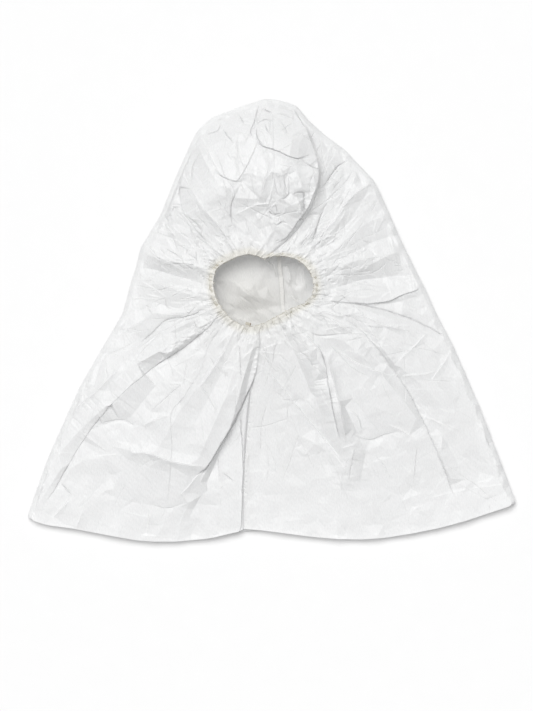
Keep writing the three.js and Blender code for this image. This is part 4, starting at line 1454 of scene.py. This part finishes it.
station_deg = np.arange(BAND_STATIONS) * 360 / BAND_STATIONS
section_turn = 2 * np.pi * np.arange(BAND_SIDES) / BAND_SIDES
band_deg, band_around = np.meshgrid(station_deg, section_turn, indexing="ij")
fullness = pucker(band_deg)
ragged = np.random.default_rng(RAGGED_SEED).normal(0, 1, BAND_STATIONS)
runs = range(-RAGGED_RUN, RAGGED_RUN + 1)
ragged = sum(np.roll(ragged, shift) for shift in runs)[:, None] / len(runs)
skew = sum(wave.reach * np.sin(np.radians(band_deg) * wave.number + wave.turn) for wave in SKEW_WAVES)
inwards = np.maximum(0, -np.cos(band_around))
band_half = BAND_HALF_WIDTH + PUCKER_WIDTH * fullness + RAGGED_REACH * ragged * inwards
band_reach = band_half * np.cos(band_around) + skew
band_rise = (BAND_HALF_HEIGHT + PUCKER_HEIGHT * fullness) * np.sin(band_around)
band_points = np.concatenate([
    face_point(band_deg, BAND_WIDTH / 2 + band_reach),
    (face_height(band_deg) - BAND_SINK + band_rise)[..., None],
], axis=-1)

# Cream with painted shade: greyer than the white sheet all over, and darkest where the band is least full, in
# the wrinkles between the gathers
BAND_CREAM_AND_PAINTED_SHADE = (
    (0.0, (0.36, 0.33, 0.27, 1)),
    (0.3, (0.46, 0.44, 0.385, 1)),
    (1.0, (0.6, 0.585, 0.54, 1)),
)
SPOT_TONES = ((0.0, (1, 1, 1, 1)), (0.72, (1, 1, 1, 1)), (0.76, (0.55, 0.43, 0.3, 1)))
SPOT_GRAIN, SPOT_DETAIL = 420, 4
BAND_GRAIN, BAND_BUMP, BAND_RELIEF, BAND_ROUGHNESS = 1600, 0.5, 0.4, 0.7
band_finish, nodes, links, shader = new_finish("gathered_sheet_edge")
wrinkle_painted_shade = tones(nodes, links, painted(nodes, "fullness"), BAND_CREAM_AND_PAINTED_SHADE)
spot_tones = tones(nodes, links, grain(nodes, links, SPOT_GRAIN, SPOT_DETAIL), SPOT_TONES)
links.new(multiplied(nodes, links, wrinkle_painted_shade, spot_tones), shader.inputs["Base Color"])
band_relief = relief(nodes, links, grain(nodes, links, BAND_GRAIN), BAND_BUMP, BAND_RELIEF)
links.new(band_relief.outputs["Normal"], shader.inputs["Normal"])
shader.inputs["Roughness"].default_value = BAND_ROUGHNESS

face_elastic = make_piece("gathered_face_elastic", *skin(band_points[:, ::-1], True), band_finish)
# Fullness of the band on its points, with chance raggedness, which sets its painted shade
shades = np.clip(fullness[:, ::-1] + RAGGED_SHADE * ragged, 0, 1).reshape(-1, 1)
paint(face_elastic, "fullness", np.hstack([np.repeat(shades, 3, axis=1), np.ones_like(shades)]))
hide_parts("face_elastic")


# Elastic tab
# The cut end of the elastic, a flat ribbed stub of beige rubber and yarn that sticks out inside the chin.
# It is caught in the stitching of the gathered edge, and one end of it is brown.
TAB_DEG, TAB_TURN = 247, 11
TAB_WIDTH, TAB_LENGTH, TAB_THICKNESS = 6.5, 3.6, 1.0
TAB_INSIDE, TAB_SINK = 0.8, 0.65
TAB_RIBS, RIB_DEPTH = 6, 0.16
TAB_SECTIONS, TAB_SIDES = 40, 20
TAB_END_SQUARENESS, TAB_IN_ROUNDNESS, TAB_UP_ROUNDNESS = 12, 0.35, 0.7

tab_turn = np.radians(TAB_DEG + TAB_TURN + 90)
tab_right = np.array((np.cos(tab_turn), np.sin(tab_turn), 0))
tab_inward = np.array((-np.sin(tab_turn), np.cos(tab_turn), 0))
tab_seat = np.append(face_point(TAB_DEG, -TAB_INSIDE), face_height(TAB_DEG) - TAB_SINK)
tab_across = np.linspace(-1, 1, TAB_SECTIONS)
tab_end = np.sqrt(np.maximum(0, 1 - tab_across ** TAB_END_SQUARENESS))
rib = 1 + RIB_DEPTH * np.cos(TAB_RIBS * np.pi * tab_across)
tab_around = 2 * np.pi * np.arange(TAB_SIDES) / TAB_SIDES
tab_in = squared_off(np.cos(tab_around), TAB_IN_ROUNDNESS)
tab_up = squared_off(np.sin(tab_around), TAB_UP_ROUNDNESS)
tab_sections = (
    tab_seat
    + (tab_across * TAB_WIDTH / 2)[:, None, None] * tab_right
    + (TAB_LENGTH / 2 * (1 + tab_end[:, None] * tab_in))[..., None] * tab_inward
    + (TAB_THICKNESS / 2 * (tab_end * rib)[:, None] * tab_up)[..., None] * np.array((0, 0, 1))
)

TAB_TONES = ((0.3, (0.36, 0.335, 0.28, 1)), (0.7, (0.52, 0.495, 0.43, 1)))
TAB_GRAIN, TAB_DETAIL, TAB_STRETCH = 1500, 4, (1, 0.3, 1)
TAB_BUMP, TAB_RELIEF, TAB_ROUGHNESS = 0.4, 0.3, 0.65
BROWN_FROM, BROWN_TONE = 0.72, (0.3, 0.2, 0.13)
tab_finish, nodes, links, shader = new_finish("beige_elastic")
tab_grain = grain(nodes, links, TAB_GRAIN, TAB_DETAIL, TAB_STRETCH)
yarn_tones = tones(nodes, links, tab_grain, TAB_TONES)
links.new(multiplied(nodes, links, yarn_tones, painted(nodes, "browned")), shader.inputs["Base Color"])
tab_relief = relief(nodes, links, tab_grain, TAB_BUMP, TAB_RELIEF)
links.new(tab_relief.outputs["Normal"], shader.inputs["Normal"])
shader.inputs["Roughness"].default_value = TAB_ROUGHNESS

elastic_tab = make_piece("elastic_cut_end", *skin(tab_sections, False), tab_finish)
browned_tones = np.ones((TAB_SECTIONS, TAB_SIDES, 4))
browned_tones[tab_across > BROWN_FROM, :, :3] = BROWN_TONE
paint(elastic_tab, "browned", browned_tones)
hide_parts("elastic_tab")
